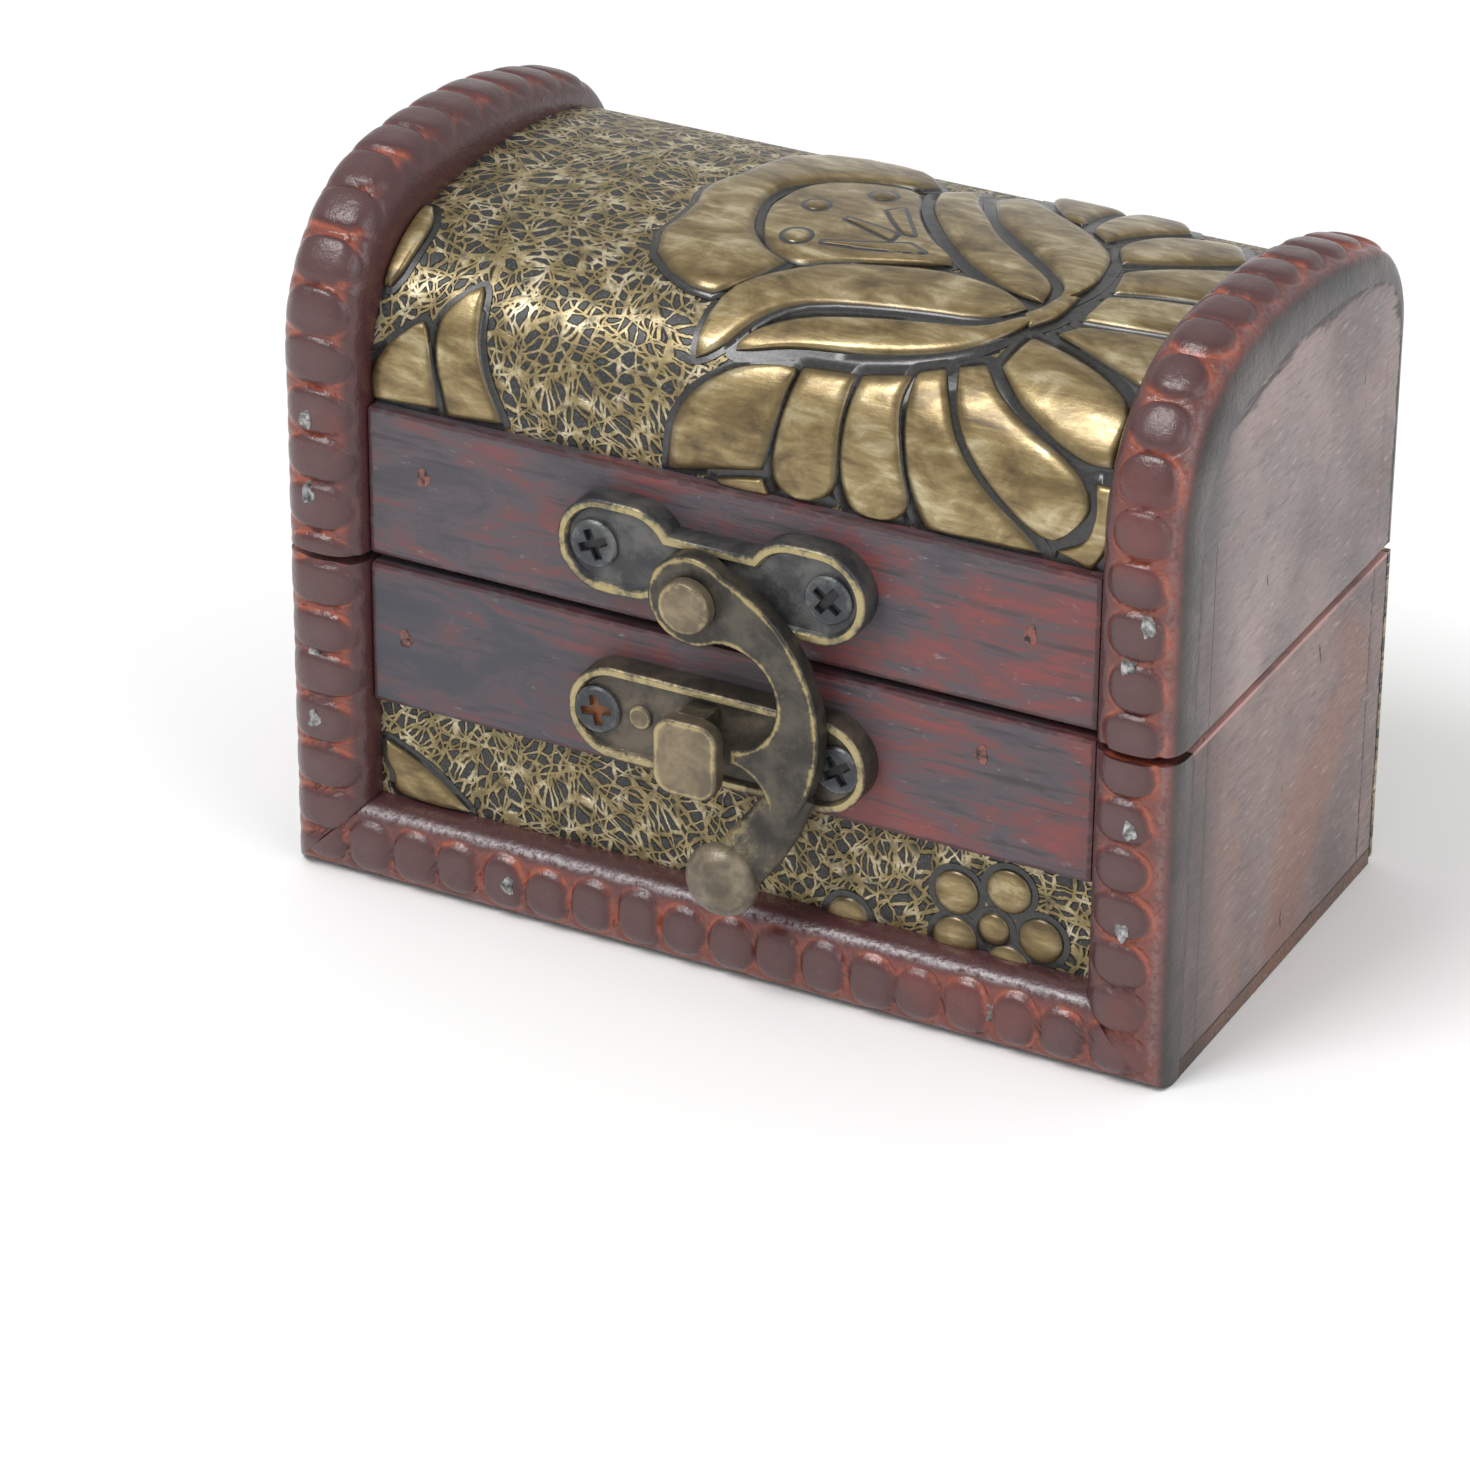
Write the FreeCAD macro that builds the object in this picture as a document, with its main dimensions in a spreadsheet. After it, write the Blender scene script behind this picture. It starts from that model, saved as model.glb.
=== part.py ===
import FreeCAD, Part
import math
import os
import Sketcher

# A small treasure chest box: a wooden base and a bowed lid on two butt hinges, leathercloth panels,
# bead mouldings along the edges and a swing-arm hasp on the front. Millimetres, +Z up, +Y to the back,
# origin on the underside, midway between the ends and between the moulding's crest and the back.

doc = FreeCAD.newDocument("treasure_chest")
sheet = doc.addObject("Spreadsheet::Sheet", "dim")

# Driving sizes: name, value, what it measures
SIZES = [
    ("box_width", "80", "over the two side panels"),
    ("box_depth", "44", "front moulding's crest to the leathercloth on the back"),
    ("base_height", "29.4", "underside to the base's rim"),
    ("parting_gap", "0.8", "between the rims of base and lid"),
    ("board_thickness", "2.8", "walls of base and lid"),
    ("bottom_thickness", "1.6", "bottom board"),
    ("leather_thickness", "0.8", "embossed leathercloth"),
    ("leather_hem", "0.6", "bare wood below the cloth on the back"),
    ("strip_thickness", "1.8", "plain strips on the front"),
    ("base_strip_height", "12.8", "strip below the parting line"),
    ("lid_strip_height", "13.2", "strip above the parting line"),
    ("trim_width", "7.4", "bead moulding across its face"),
    ("trim_depth", "4", "bead moulding off the front boards"),
    ("trim_back_depth", "1.4", "moulding where it thins out down the back of the lid"),
    ("trim_round", "2.6", "rounding along the moulding's two edges"),
    ("trim_crown_lift", "5", "moulding's crown above the wooden crown"),
    ("trim_crown_offset", "-4", "moulding's crown behind the middle"),
    ("crown_rise", "27.2", "lid's rim to the wooden crown"),
    ("crown_offset", "2", "wooden crown behind the middle"),
    ("crown_radius", "58", "bow of the wooden crown"),
    ("front_round", "10", "bend of the lid at the front"),
    ("back_round", "7", "bend of the lid at the back"),
    ("brad_radius", "0.5", "wire nails"),
    ("brad_proud", "0.1", "nail above the face it holds"),
    ("brad_grip", "2", "nail inside the board"),
    ("nail_clearance", "0.02", "between a nail and its hole, per side"),
    ("hasp_offset", "-0.1", "middle of the hasp beside the middle of the box"),
    ("plate_thickness", "2.4", "hasp plates"),
    ("upper_plate_length", "27.4", "upper plate over its ends"),
    ("upper_lobe_length", "10.6", "each round-ended lobe of the upper plate"),
    ("upper_screw_inset", "3.3", "screws from the ends of the upper plate"),
    ("upper_end_radius", "4.1", "round ends of the lobes"),
    ("upper_waist", "4.4", "upper plate between its lobes"),
    ("upper_plate_rise", "7", "upper plate's middle above the lid's rim"),
    ("rivet_offset", "-0.7", "rivet beside the hasp's middle"),
    ("rivet_rise", "5", "rivet above the lid's rim"),
    ("rivet_radius", "1.1", "shank of the rivet"),
    ("rivet_head_radius", "2.3", "head of the rivet"),
    ("rivet_head_height", "1.2", "head of the rivet"),
    ("arm_clearance", "0.2", "swing arm to what it passes"),
    ("pivot_clearance", "0.05", "arm's eye round the rivet, per side"),
    ("arm_thickness", "1.6", "swing arm"),
    ("arm_eye_radius", "3.9", "round end on the rivet"),
    ("arm_outer_radius", "13.8", "outside of the arm's bow"),
    ("arm_bow_offset", "-2.4", "bow's middle beside the rivet"),
    ("arm_bow_drop", "10", "bow's middle below the rivet"),
    ("arm_start_angle", "-55", "tail end of the bow, degrees from level"),
    ("arm_sweep_angle", "139", "bow from tail to rivet, degrees"),
    ("arm_root_drop", "3.6", "arm's underside below the rivet, beside the eye"),
    ("window_radius", "4.6", "round opening between the eye and the tooth"),
    ("window_offset", "3", "round opening beside the rivet"),
    ("window_drop", "7.75", "round opening below the rivet"),
    ("heel_radius", "3.65", "round cut between the tooth and the tail"),
    ("heel_offset", "3.3", "round cut beside the rivet"),
    ("tail_radius", "1.4", "bent tail between the bow and the knob"),
    ("tail_offset", "5", "tail beside the rivet"),
    ("tail_drop", "21.6", "tail below the rivet"),
    ("tooth_reach", "3.5", "tooth's tip beside the rivet"),
    ("tooth_tip", "1.2", "tooth between the two round cuts"),
    ("knob_radius", "3.2", "round end of the arm's tail"),
    ("knob_depth", "1.9", "knob's middle to its front"),
    ("knob_offset", "3.8", "knob beside the rivet"),
    ("knob_drop", "23.2", "knob below the rivet"),
    ("knob_forward", "2.3", "knob's middle in front of the arm's middle"),
    ("lower_plate_offset", "0.6", "catch plate beside the hasp's middle"),
    ("lower_screw_inset", "2.6", "screws from the ends of the catch plate"),
    ("lower_end_radius", "4.15", "round ends of the catch plate"),
    ("lower_plate_length", "26.8", "catch plate over its ends"),
    ("catch_drop", "7.05", "catch plate's middle below the base's rim"),
    ("catch_width", "5.7", "head of the catch"),
    ("catch_height", "6.8", "head of the catch"),
    ("catch_depth", "1.3", "head of the catch, front to back"),
    ("catch_neck", "1.6", "neck of the catch, down from its top"),
    ("catch_offset", "-0.45", "head of the catch beside the hasp's middle"),
    ("catch_sag", "0.5", "head's middle below the plate's middle"),
    ("catch_corner", "1.6", "cut corners of the head"),
    ("screw_head_radius", "2.1", "cross-head screws"),
    ("screw_head_height", "0.7", "cross-head screws"),
    ("screw_radius", "0.8", "shank of the screws"),
    ("screw_grip", "2", "screw inside the board"),
    ("hinge_inset", "20", "hinge's middle from the end of the box"),
    ("hinge_width", "12", "hinge leaves"),
    ("leaf_thickness", "0.35", "hinge leaves"),
    ("leaf_inset", "2.4", "leaf on the back board"),
    ("barrel_radius", "1", "hinge knuckles"),
    ("barrel_clearance", "0.15", "knuckles behind the back"),
    ("pin_radius", "0.5", "hinge pin"),
    ("pin_clearance", "0.03", "pin in the knuckles, per side"),
    ("pin_overhang", "0.3", "pin past the knuckles at each end"),
    ("middle_knuckle", "4.8", "length of the lid leaf's knuckle"),
    ("knuckle_gap", "0.2", "between the knuckles"),
    ("leaf_nail_radius", "0.35", "shank of the hinge nails"),
    ("leaf_nail_head", "0.65", "head of the hinge nails"),
    ("leaf_nail_length", "4", "hinge nails in the wood"),
    ("leaf_nail_spacing", "7.2", "nails of one leaf"),
    ("leaf_nail_inset", "1.4", "nails from the back board's outside"),
    ("overrun", "1", "cutters past the faces they cut"),
]

# Places of nails as shares of the piece that they hold, across it and up it; they were driven by eye
POST_BRAD_SHARES = {"left": ((0.6, 0.5), (0.6, 0.7)), "right": ((0.5, 0.49), (0.54, 0.8))}
ARCH_BRAD_SHARES = {"left": ((0.6, 0.39), (0.6, 0.9)), "right": ((0.44, 0.54), (0.64, 0.84))}
BOTTOM_BRAD_SHARES = {"left": 0.47, "right": 0.62}
BASE_STRIP_BRAD_SHARES = {"left": (0.9, 0.5), "right": (0.7, 0.71)}
LID_STRIP_BRAD_SHARES = {"left": (0.84, 0.6), "right": (0.82, 0.53)}

# Part of a wall that a rounded edge may take
ROUND_LIMIT_SHARE = 0.7

# Worked out from the driving sizes
DERIVED = [
    ("half_width", "box_width / 2"),
    ("trim_face", "box_depth / 2"),
    ("wood_front", "trim_face - trim_depth"),
    ("wood_back", "box_depth / 2 - leather_thickness"),
    ("lid_rim", "base_height + parting_gap"),
    ("panel_half", "half_width - trim_width"),
    ("base_strip_foot", "base_height - base_strip_height"),
    ("lid_strip_top", "lid_rim + lid_strip_height"),
    ("strip_face", "wood_front + strip_thickness"),
    ("trim_back", "wood_back + trim_back_depth"),
    ("trim_crown_radius", "crown_radius + trim_depth"),
    ("trim_front_round", "front_round + trim_depth"),
    ("trim_back_round", "back_round + trim_back_depth"),
    ("wood_crown_z", "lid_rim + crown_rise - crown_radius"),
    ("trim_crown_z", "lid_rim + crown_rise + trim_crown_lift - trim_crown_radius"),
    ("wood_front_z", "wood_crown_z + sqrt((crown_radius - front_round) ^ 2"
     " - (wood_front - front_round + crown_offset) ^ 2)"),
    ("wood_back_z", "wood_crown_z + sqrt((crown_radius - back_round) ^ 2"
     " - (wood_back - back_round - crown_offset) ^ 2)"),
    ("trim_front_z", "trim_crown_z + sqrt((trim_crown_radius - trim_front_round) ^ 2"
     " - (trim_face - trim_front_round + trim_crown_offset) ^ 2)"),
    ("trim_back_z", "trim_crown_z + sqrt((trim_crown_radius - trim_back_round) ^ 2"
     " - (trim_back - trim_back_round - trim_crown_offset) ^ 2)"),
    ("plate_face", "strip_face + plate_thickness"),
    ("arm_back", "plate_face + arm_clearance"),
    ("arm_face", "arm_back + arm_thickness"),
    ("rivet_x", "hasp_offset + rivet_offset"),
    ("rivet_z", "lid_rim + rivet_rise"),
    ("upper_z", "lid_rim + upper_plate_rise"),
    ("upper_screw_spacing", "upper_plate_length - upper_screw_inset * 2"),
    ("window_z", "rivet_z - window_drop"),
    ("heel_z", "window_z - window_radius - tooth_tip - heel_radius"),
    ("lower_x", "hasp_offset + lower_plate_offset"),
    ("lower_screw_spacing", "lower_plate_length - lower_screw_inset * 2"),
    ("catch_x", "hasp_offset + catch_offset"),
    ("catch_z", "base_height - catch_drop"),
    ("head_z", "catch_z - catch_sag"),
    ("hinge_offset", "half_width - hinge_inset"),
    ("hinge_y", "wood_back + leather_thickness + barrel_clearance + barrel_radius"),
    ("hinge_z", "base_height + parting_gap / 2"),
]


def fill_sheet():
    """Write the driving sizes as plain numbers and the derived ones as formulas, each with its alias."""
    row = 0
    for name, number, note in SIZES:
        row += 1
        sheet.set(f"A{row}", name)
        sheet.set(f"B{row}", number)
        sheet.set(f"C{row}", note)
        sheet.setAlias(f"B{row}", name)
    for name, formula in DERIVED:
        row += 1
        sheet.set(f"A{row}", name)
        sheet.set(f"B{row}", "=" + formula)
        sheet.setAlias(f"B{row}", name)
    doc.recompute()


fill_sheet()
NAMES = [entry[0] for entry in SIZES + DERIVED]


def dims(text):
    """Turn a formula in plain size names into one that reads the sheet."""
    words = []
    word = ""
    for letter in text + " ":
        if letter.isalnum() or letter == "_":
            word += letter
            continue
        words.append("dim." + word if word in NAMES else word)
        words.append(letter)
        word = ""
    return "".join(words).strip()


def value(text):
    return float(sheet.evalExpression(dims(text)))


def bind(item, prop, text):
    item.setExpression(prop, dims(text))


# Sketches: an outline is a list of points, each with the bend of the run that leaves it
def straight(across, along):
    return (across, along, None, 0)


def bent(across, along, radius, turn):
    """A point whose run to the next one is an arc; turn is 1 to the left and -1 to the right."""
    return (across, along, radius, turn)


def rectangle(left, right, bottom, top):
    return [straight(left, bottom), straight(right, bottom), straight(right, top), straight(left, top)]


def run_geometry(start, end, radius, turn):
    """A line or an arc of under a half circle, and which of its ends is the start."""
    if not turn:
        return Part.LineSegment(start, end), 1, 2
    chord = end - start
    left = FreeCAD.Vector(-chord.y, chord.x, 0).normalize()
    rise = math.sqrt(max(radius ** 2 - (chord.Length / 2) ** 2, 0))
    centre = (start + end) / 2 + left * (turn * rise)
    angles = [math.atan2(point.y - centre.y, point.x - centre.x) for point in (start, end)]
    circle = Part.Circle(centre, FreeCAD.Vector(0, 0, 1), radius)
    if turn > 0:
        return Part.ArcOfCircle(circle, angles[0], angles[1]), 1, 2
    return Part.ArcOfCircle(circle, angles[1], angles[0]), 2, 1


def fix(sketch, kind, places, text):
    number = sketch.addConstraint(Sketcher.Constraint(kind, *places, value(text)))
    bind(sketch, f"Constraints[{number}]", text)


def draw(sketch, outline):
    """Close the outline with lines and arcs whose points and radii are bound to the sheet."""
    points = [FreeCAD.Vector(value(point[0]), value(point[1]), 0) for point in outline]
    ends = []
    for index, (across, along, radius, turn) in enumerate(outline):
        after = points[(index + 1) % len(points)]
        size = value(radius) if turn else 0
        shape, first, last = run_geometry(points[index], after, size, turn)
        ends.append((sketch.addGeometry(shape), first, last))
    for index, (run, first, last) in enumerate(ends):
        following = ends[(index + 1) % len(ends)]
        sketch.addConstraint(Sketcher.Constraint("Coincident", run, last, following[0], following[1]))
    for (run, first, last), (across, along, radius, turn) in zip(ends, outline):
        fix(sketch, "DistanceX", (-1, 1, run, first), across)
        fix(sketch, "DistanceY", (-1, 1, run, first), along)
        if turn:
            fix(sketch, "Radius", (run,), radius)


def sketch_on(body, name, role, start):
    """A sketch on one of the body's own planes, moved along that plane's normal."""
    sketch = body.newObject("Sketcher::SketchObject", name)
    plane = [item for item in body.Origin.OriginFeatures if item.Role == role][0]
    sketch.AttachmentSupport = [(plane, "")]
    sketch.MapMode = "FlatFace"
    bind(sketch, "AttachmentOffset.Base.z", start)
    return sketch


def prism(label, role, outline, start, depth):
    """A body padded from an outline. XZ outlines grow to the front, YZ ones to the right, XY ones up."""
    body = doc.addObject("PartDesign::Body", label)
    sketch = sketch_on(body, label + "_outline", role, start)
    draw(sketch, outline)
    pad = body.newObject("PartDesign::Pad", label + "_pad")
    pad.Profile = sketch
    bind(pad, "Length", depth)
    return body


def drill(body, role, places, radius, start, depth):
    """Round holes along the plane's normal, from start to start plus depth."""
    doc.recompute()
    before = body.Shape.Volume
    name = body.Name + "_holes"
    sketch = sketch_on(body, name + "_outline", role, start)
    for across, along in places:
        centre = FreeCAD.Vector(value(across), value(along), 0)
        circle = Part.Circle(centre, FreeCAD.Vector(0, 0, 1), value(radius))
        run = sketch.addGeometry(circle)
        fix(sketch, "DistanceX", (-1, 1, run, 3), across)
        fix(sketch, "DistanceY", (-1, 1, run, 3), along)
        fix(sketch, "Radius", (run,), radius)
    pocket = body.newObject("PartDesign::Pocket", name)
    pocket.Profile = sketch
    pocket.Reversed = True
    bind(pocket, "Length", depth)
    doc.recompute()
    if body.Shape.Volume >= before:
        raise RuntimeError(name + " cut nothing")


def flat(length):
    return length < Part.Precision.confusion()


def round_edges(body, wanted, radius):
    """Round the edges that the given test picks."""
    doc.recompute()
    base = body.Tip
    edges = [f"Edge{number}" for number, edge in enumerate(base.Shape.Edges, 1) if wanted(edge.BoundBox)]
    fillet = body.newObject("PartDesign::Fillet", body.Name + "_round")
    fillet.Base = (base, edges)
    bind(fillet, "Radius", radius)


# Primitives and booleans
UPRIGHT = FreeCAD.Rotation()
FORWARD = FreeCAD.Rotation(FreeCAD.Vector(1, 0, 0), 90)
INWARD = FreeCAD.Rotation(FreeCAD.Vector(1, 0, 0), -90)
SIDEWAYS = FreeCAD.Rotation(FreeCAD.Vector(0, 1, 0), 90)


def place(item, turn, across, along, up):
    item.Placement = FreeCAD.Placement(FreeCAD.Vector(), turn)
    bind(item, "Placement.Base.x", across)
    bind(item, "Placement.Base.y", along)
    bind(item, "Placement.Base.z", up)


def rod(name, turn, across, along, up, radius, length):
    item = doc.addObject("Part::Cylinder", name)
    bind(item, "Radius", radius)
    bind(item, "Height", length)
    place(item, turn, across, along, up)
    return item


def block(name, across, along, up, width, depth, height):
    item = doc.addObject("Part::Box", name)
    bind(item, "Length", width)
    bind(item, "Width", depth)
    bind(item, "Height", height)
    place(item, UPRIGHT, across, along, up)
    return item


def fuse(name, pieces):
    item = doc.addObject("Part::MultiFuse", name)
    item.Shapes = pieces
    item.Refine = True
    return item


def cut(name, base, tool):
    item = doc.addObject("Part::Cut", name)
    item.Base = base
    item.Tool = tool
    return item


def group(name, pieces):
    item = doc.addObject("Part::Compound", name)
    item.Links = pieces
    return item


# The lid's bow: one bend at the front, a long crown and one bend at the back, nested by an offset
def bow_points(kind, offset):
    """Front spring, front joint, back joint and back spring of a bow, moved outwards by offset."""
    front, back, crown = ("wood_front", "wood_back", "crown_radius")
    near, far, middle = ("front_round", "back_round", "crown_offset")
    if kind == "trim":
        front, back, crown = ("trim_face", "trim_back", "trim_crown_radius")
        near, far, middle = ("trim_front_round", "trim_back_round", "trim_crown_offset")
    reach = f"({crown} + {offset})"
    joints = []
    for centre_y, centre_z, radius in (
        (f"({near} - {front})", f"{kind}_front_z", near),
        (f"({back} - {far})", f"{kind}_back_z", far),
    ):
        share = f"{reach} / ({crown} - {radius})"
        joints.append((
            f"{middle} + ({centre_y} - {middle}) * {share}",
            f"{kind}_crown_z + ({centre_z} - {kind}_crown_z) * {share}",
        ))
    radii = [f"{near} + {offset}", f"{crown} + {offset}", f"{far} + {offset}"]
    springs = [(f"-{front} - {offset}", f"{kind}_front_z"), (f"{back} + {offset}", f"{kind}_back_z")]
    return springs[0], joints[0], joints[1], springs[1], radii


def bow_over(kind, offset):
    """Run of points from the front spring over the crown, ending with a straight run."""
    spring, joint, back_joint, back_spring, radii = bow_points(kind, offset)
    return [
        bent(*spring, radii[0], -1),
        bent(*joint, radii[1], -1),
        bent(*back_joint, radii[2], -1),
        straight(*back_spring),
    ]


def bow_under(kind, offset):
    """The same run from the back spring to the front one."""
    spring, joint, back_joint, back_spring, radii = bow_points(kind, offset)
    return [
        bent(*back_spring, radii[2], 1),
        bent(*back_joint, radii[1], 1),
        bent(*joint, radii[0], 1),
        straight(*spring),
    ]


SIDES = (("left", "-"), ("right", ""))


# Nails: their places on the front, one list for each piece that they hold
post_brads = {}
arch_brads = {}
bottom_brads = []
base_strip_brads = []
lid_strip_brads = []
for side, sign in SIDES:
    post_brads[side] = [
        (f"{sign}(panel_half + trim_width * {across})", f"base_height * {up}")
        for across, up in POST_BRAD_SHARES[side]
    ]
    arch_brads[side] = [
        (f"{sign}(panel_half + trim_width * {across})", f"lid_rim + lid_strip_height * {up}")
        for across, up in ARCH_BRAD_SHARES[side]
    ]
    bottom_brads.append((f"{sign}half_width * {BOTTOM_BRAD_SHARES[side]}", "trim_width / 2"))
    across, up = BASE_STRIP_BRAD_SHARES[side]
    base_strip_brads.append((f"{sign}panel_half * {across}", f"base_strip_foot + base_strip_height * {up}"))
    across, up = LID_STRIP_BRAD_SHARES[side]
    lid_strip_brads.append((f"{sign}panel_half * {across}", f"lid_rim + lid_strip_height * {up}"))
upper_screws = [(f"hasp_offset {sign} upper_screw_spacing / 2", "upper_z") for sign in "-+"]
lower_screws = [(f"lower_x {sign} lower_screw_spacing / 2", "catch_z") for sign in "-+"]
BRAD_HOLE = "brad_radius + nail_clearance"
SCREW_HOLE = "screw_radius + nail_clearance"
LEAF_NAIL_HOLE = "leaf_nail_radius + nail_clearance"


def brads(label, places, face):
    """Wire nails driven straight back through a piece into the board behind it."""
    pieces = []
    for number, (across, up) in enumerate(places, 1):
        top = f"-({face}) - brad_proud"
        length = f"{face} + brad_proud - wood_front + brad_grip"
        pieces.append(rod(f"{label}_{number}", INWARD, across, top, up, "brad_radius", length))
    return group(label, pieces)


def leaf_nail_places(side, sign):
    middle = f"{sign}hinge_offset"
    return [(f"{middle} {step} leaf_nail_spacing / 2", "wood_back - leaf_nail_inset") for step in "-+"]


all_leaf_nails = [spot for side, sign in SIDES for spot in leaf_nail_places(side, sign)]
parts = []

# Base: bottom board, walls, leathercloth
parts.append(prism(
    "base_bottom_panel", "XY_Plane",
    rectangle("-half_width", "half_width", "-wood_front", "wood_back"), "0", "bottom_thickness",
))

base_front = prism(
    "base_front_board", "XZ_Plane",
    rectangle("-half_width", "half_width", "bottom_thickness", "base_height"),
    "wood_front - board_thickness", "board_thickness",
)
nails = post_brads["left"] + post_brads["right"] + bottom_brads + base_strip_brads
drill(base_front, "XZ_Plane", nails, BRAD_HOLE, "wood_front - brad_grip", "brad_grip + overrun")
parts.append(base_front)

base_back = prism(
    "base_back_board", "XZ_Plane",
    rectangle("-half_width", "half_width", "bottom_thickness", "base_height"),
    "-wood_back", "board_thickness",
)
drill(base_back, "XY_Plane", all_leaf_nails, LEAF_NAIL_HOLE,
      "base_height - leaf_nail_length", "leaf_nail_length + overrun")
parts.append(base_back)

for side, start in (("left", "-half_width"), ("right", "half_width - board_thickness")):
    parts.append(prism(
        f"base_{side}_side_panel", "YZ_Plane",
        rectangle("board_thickness - wood_front", "wood_back - board_thickness",
                  "bottom_thickness", "base_height"),
        start, "board_thickness",
    ))

parts.append(prism(
    "base_front_leather", "XZ_Plane",
    rectangle("-panel_half", "panel_half", "trim_width", "base_strip_foot"),
    "wood_front", "leather_thickness",
))
parts.append(prism(
    "base_back_leather", "XZ_Plane",
    rectangle("-half_width", "half_width", "leather_hem", "base_height"),
    "-wood_back - leather_thickness", "leather_thickness",
))

base_strip = prism(
    "base_front_strip", "XZ_Plane",
    rectangle("-panel_half", "panel_half", "base_strip_foot", "base_height"),
    "wood_front", "strip_thickness",
)
drill(base_strip, "XZ_Plane", base_strip_brads, BRAD_HOLE, "wood_front", "strip_thickness + overrun")
parts.append(base_strip)
parts.append(brads("base_strip_brads", base_strip_brads, "strip_face"))


# Base mouldings: two posts and a foot, mitred where they meet
def upright_on_face(box):
    return flat(box.YMax + value("trim_face")) and flat(box.XLength)


def level_on_face(box):
    return flat(box.YMax + value("trim_face")) and flat(box.ZLength)


EDGE_ROUND = f"min(trim_round; {ROUND_LIMIT_SHARE} * trim_depth; {ROUND_LIMIT_SHARE} * trim_width / 2)"
for side, sign in SIDES:
    inner, outer = (f"{sign}panel_half", f"{sign}half_width")
    post = prism(
        f"base_{side}_post_trim", "XZ_Plane",
        [straight(inner, "base_height"), straight(inner, "trim_width"),
         straight(outer, "0"), straight(outer, "base_height")],
        "wood_front", "trim_depth",
    )
    round_edges(post, upright_on_face, EDGE_ROUND)
    drill(post, "XZ_Plane", post_brads[side], BRAD_HOLE, "wood_front", "trim_depth + overrun")
    parts.append(post)

foot = prism(
    "base_bottom_trim", "XZ_Plane",
    [straight("-half_width", "0"), straight("half_width", "0"),
     straight("panel_half", "trim_width"), straight("-panel_half", "trim_width")],
    "wood_front", "trim_depth",
)
round_edges(foot, level_on_face, EDGE_ROUND)
drill(foot, "XZ_Plane", bottom_brads, BRAD_HOLE, "wood_front", "trim_depth + overrun")
parts.append(foot)
parts.append(brads("base_trim_brads", post_brads["left"] + post_brads["right"] + bottom_brads, "trim_face"))

# Lid: straight front and back boards, bowed top, two ends cut to the bow
lid_front = prism(
    "lid_front_board", "XZ_Plane",
    rectangle("-half_width", "half_width", "lid_rim", "wood_front_z"),
    "wood_front - board_thickness", "board_thickness",
)
nails = arch_brads["left"] + arch_brads["right"] + lid_strip_brads
drill(lid_front, "XZ_Plane", nails, BRAD_HOLE, "wood_front - brad_grip", "brad_grip + overrun")
parts.append(lid_front)

lid_back = prism(
    "lid_back_board", "XZ_Plane",
    rectangle("-half_width", "half_width", "lid_rim", "wood_back_z"),
    "-wood_back", "board_thickness",
)
drill(lid_back, "XY_Plane", all_leaf_nails, LEAF_NAIL_HOLE,
      "lid_rim - overrun", "leaf_nail_length + overrun")
parts.append(lid_back)

parts.append(prism(
    "lid_curved_top", "YZ_Plane",
    bow_over("wood", "0") + bow_under("wood", "-board_thickness"), "-half_width", "box_width",
))

end_outline = [straight("board_thickness - wood_front", "lid_rim")]
end_outline += bow_over("wood", "-board_thickness")
end_outline += [straight("wood_back - board_thickness", "lid_rim")]
for side, start in (("left", "-half_width"), ("right", "half_width - board_thickness")):
    parts.append(prism(f"lid_{side}_side_panel", "YZ_Plane", end_outline, start, "board_thickness"))

# Leathercloth from the strip over the crown and down the back, between the two arch mouldings
cloth_outline = [straight("-wood_front - leather_thickness", "lid_strip_top")]
cloth_outline += bow_over("wood", "leather_thickness")
cloth_outline += [straight("wood_back + leather_thickness", "lid_rim"), straight("wood_back", "lid_rim")]
cloth_outline += bow_under("wood", "0")
cloth_outline += [straight("-wood_front", "lid_strip_top")]
parts.append(prism("lid_leather_cover", "YZ_Plane", cloth_outline, "-panel_half", "panel_half * 2"))

lid_strip = prism(
    "lid_front_strip", "XZ_Plane",
    rectangle("-panel_half", "panel_half", "lid_rim", "lid_strip_top"),
    "wood_front", "strip_thickness",
)
drill(lid_strip, "XZ_Plane", lid_strip_brads, BRAD_HOLE, "wood_front", "strip_thickness + overrun")
parts.append(lid_strip)
parts.append(brads("lid_strip_brads", lid_strip_brads, "strip_face"))

# Arch mouldings, from the front rim over the crown and thinning down the back
arch_outline = [straight("-trim_face", "lid_rim")]
arch_outline += bow_over("trim", "0")
arch_outline += [straight("trim_back", "lid_rim"), straight("wood_back", "lid_rim")]
arch_outline += bow_under("wood", "0")
arch_outline += [straight("-wood_front", "lid_rim")]
doc.recompute()
wood_bow = doc.getObject("lid_curved_top").Shape.fuse([lid_front.Shape, lid_back.Shape])


def wall_at(point):
    """Depth of the moulding between a point of its face and the wood."""
    return Part.Vertex(point).distToShape(wood_bow)[0]


def arch_edges(shape):
    """Long edges of the moulding's face, each with the rounding at its two ends."""
    rows = []
    for number, edge in enumerate(shape.Edges, 1):
        middle = edge.valueAt((edge.FirstParameter + edge.LastParameter) / 2)
        across = not flat(edge.BoundBox.XLength)
        if across or flat(edge.BoundBox.ZLength) or flat(wall_at(middle)):
            continue
        ends = (edge.valueAt(edge.FirstParameter), edge.valueAt(edge.LastParameter))
        radii = [min(value("trim_round"), ROUND_LIMIT_SHARE * wall_at(end)) for end in ends]
        rows.append((number, *radii))
    return rows


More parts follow.
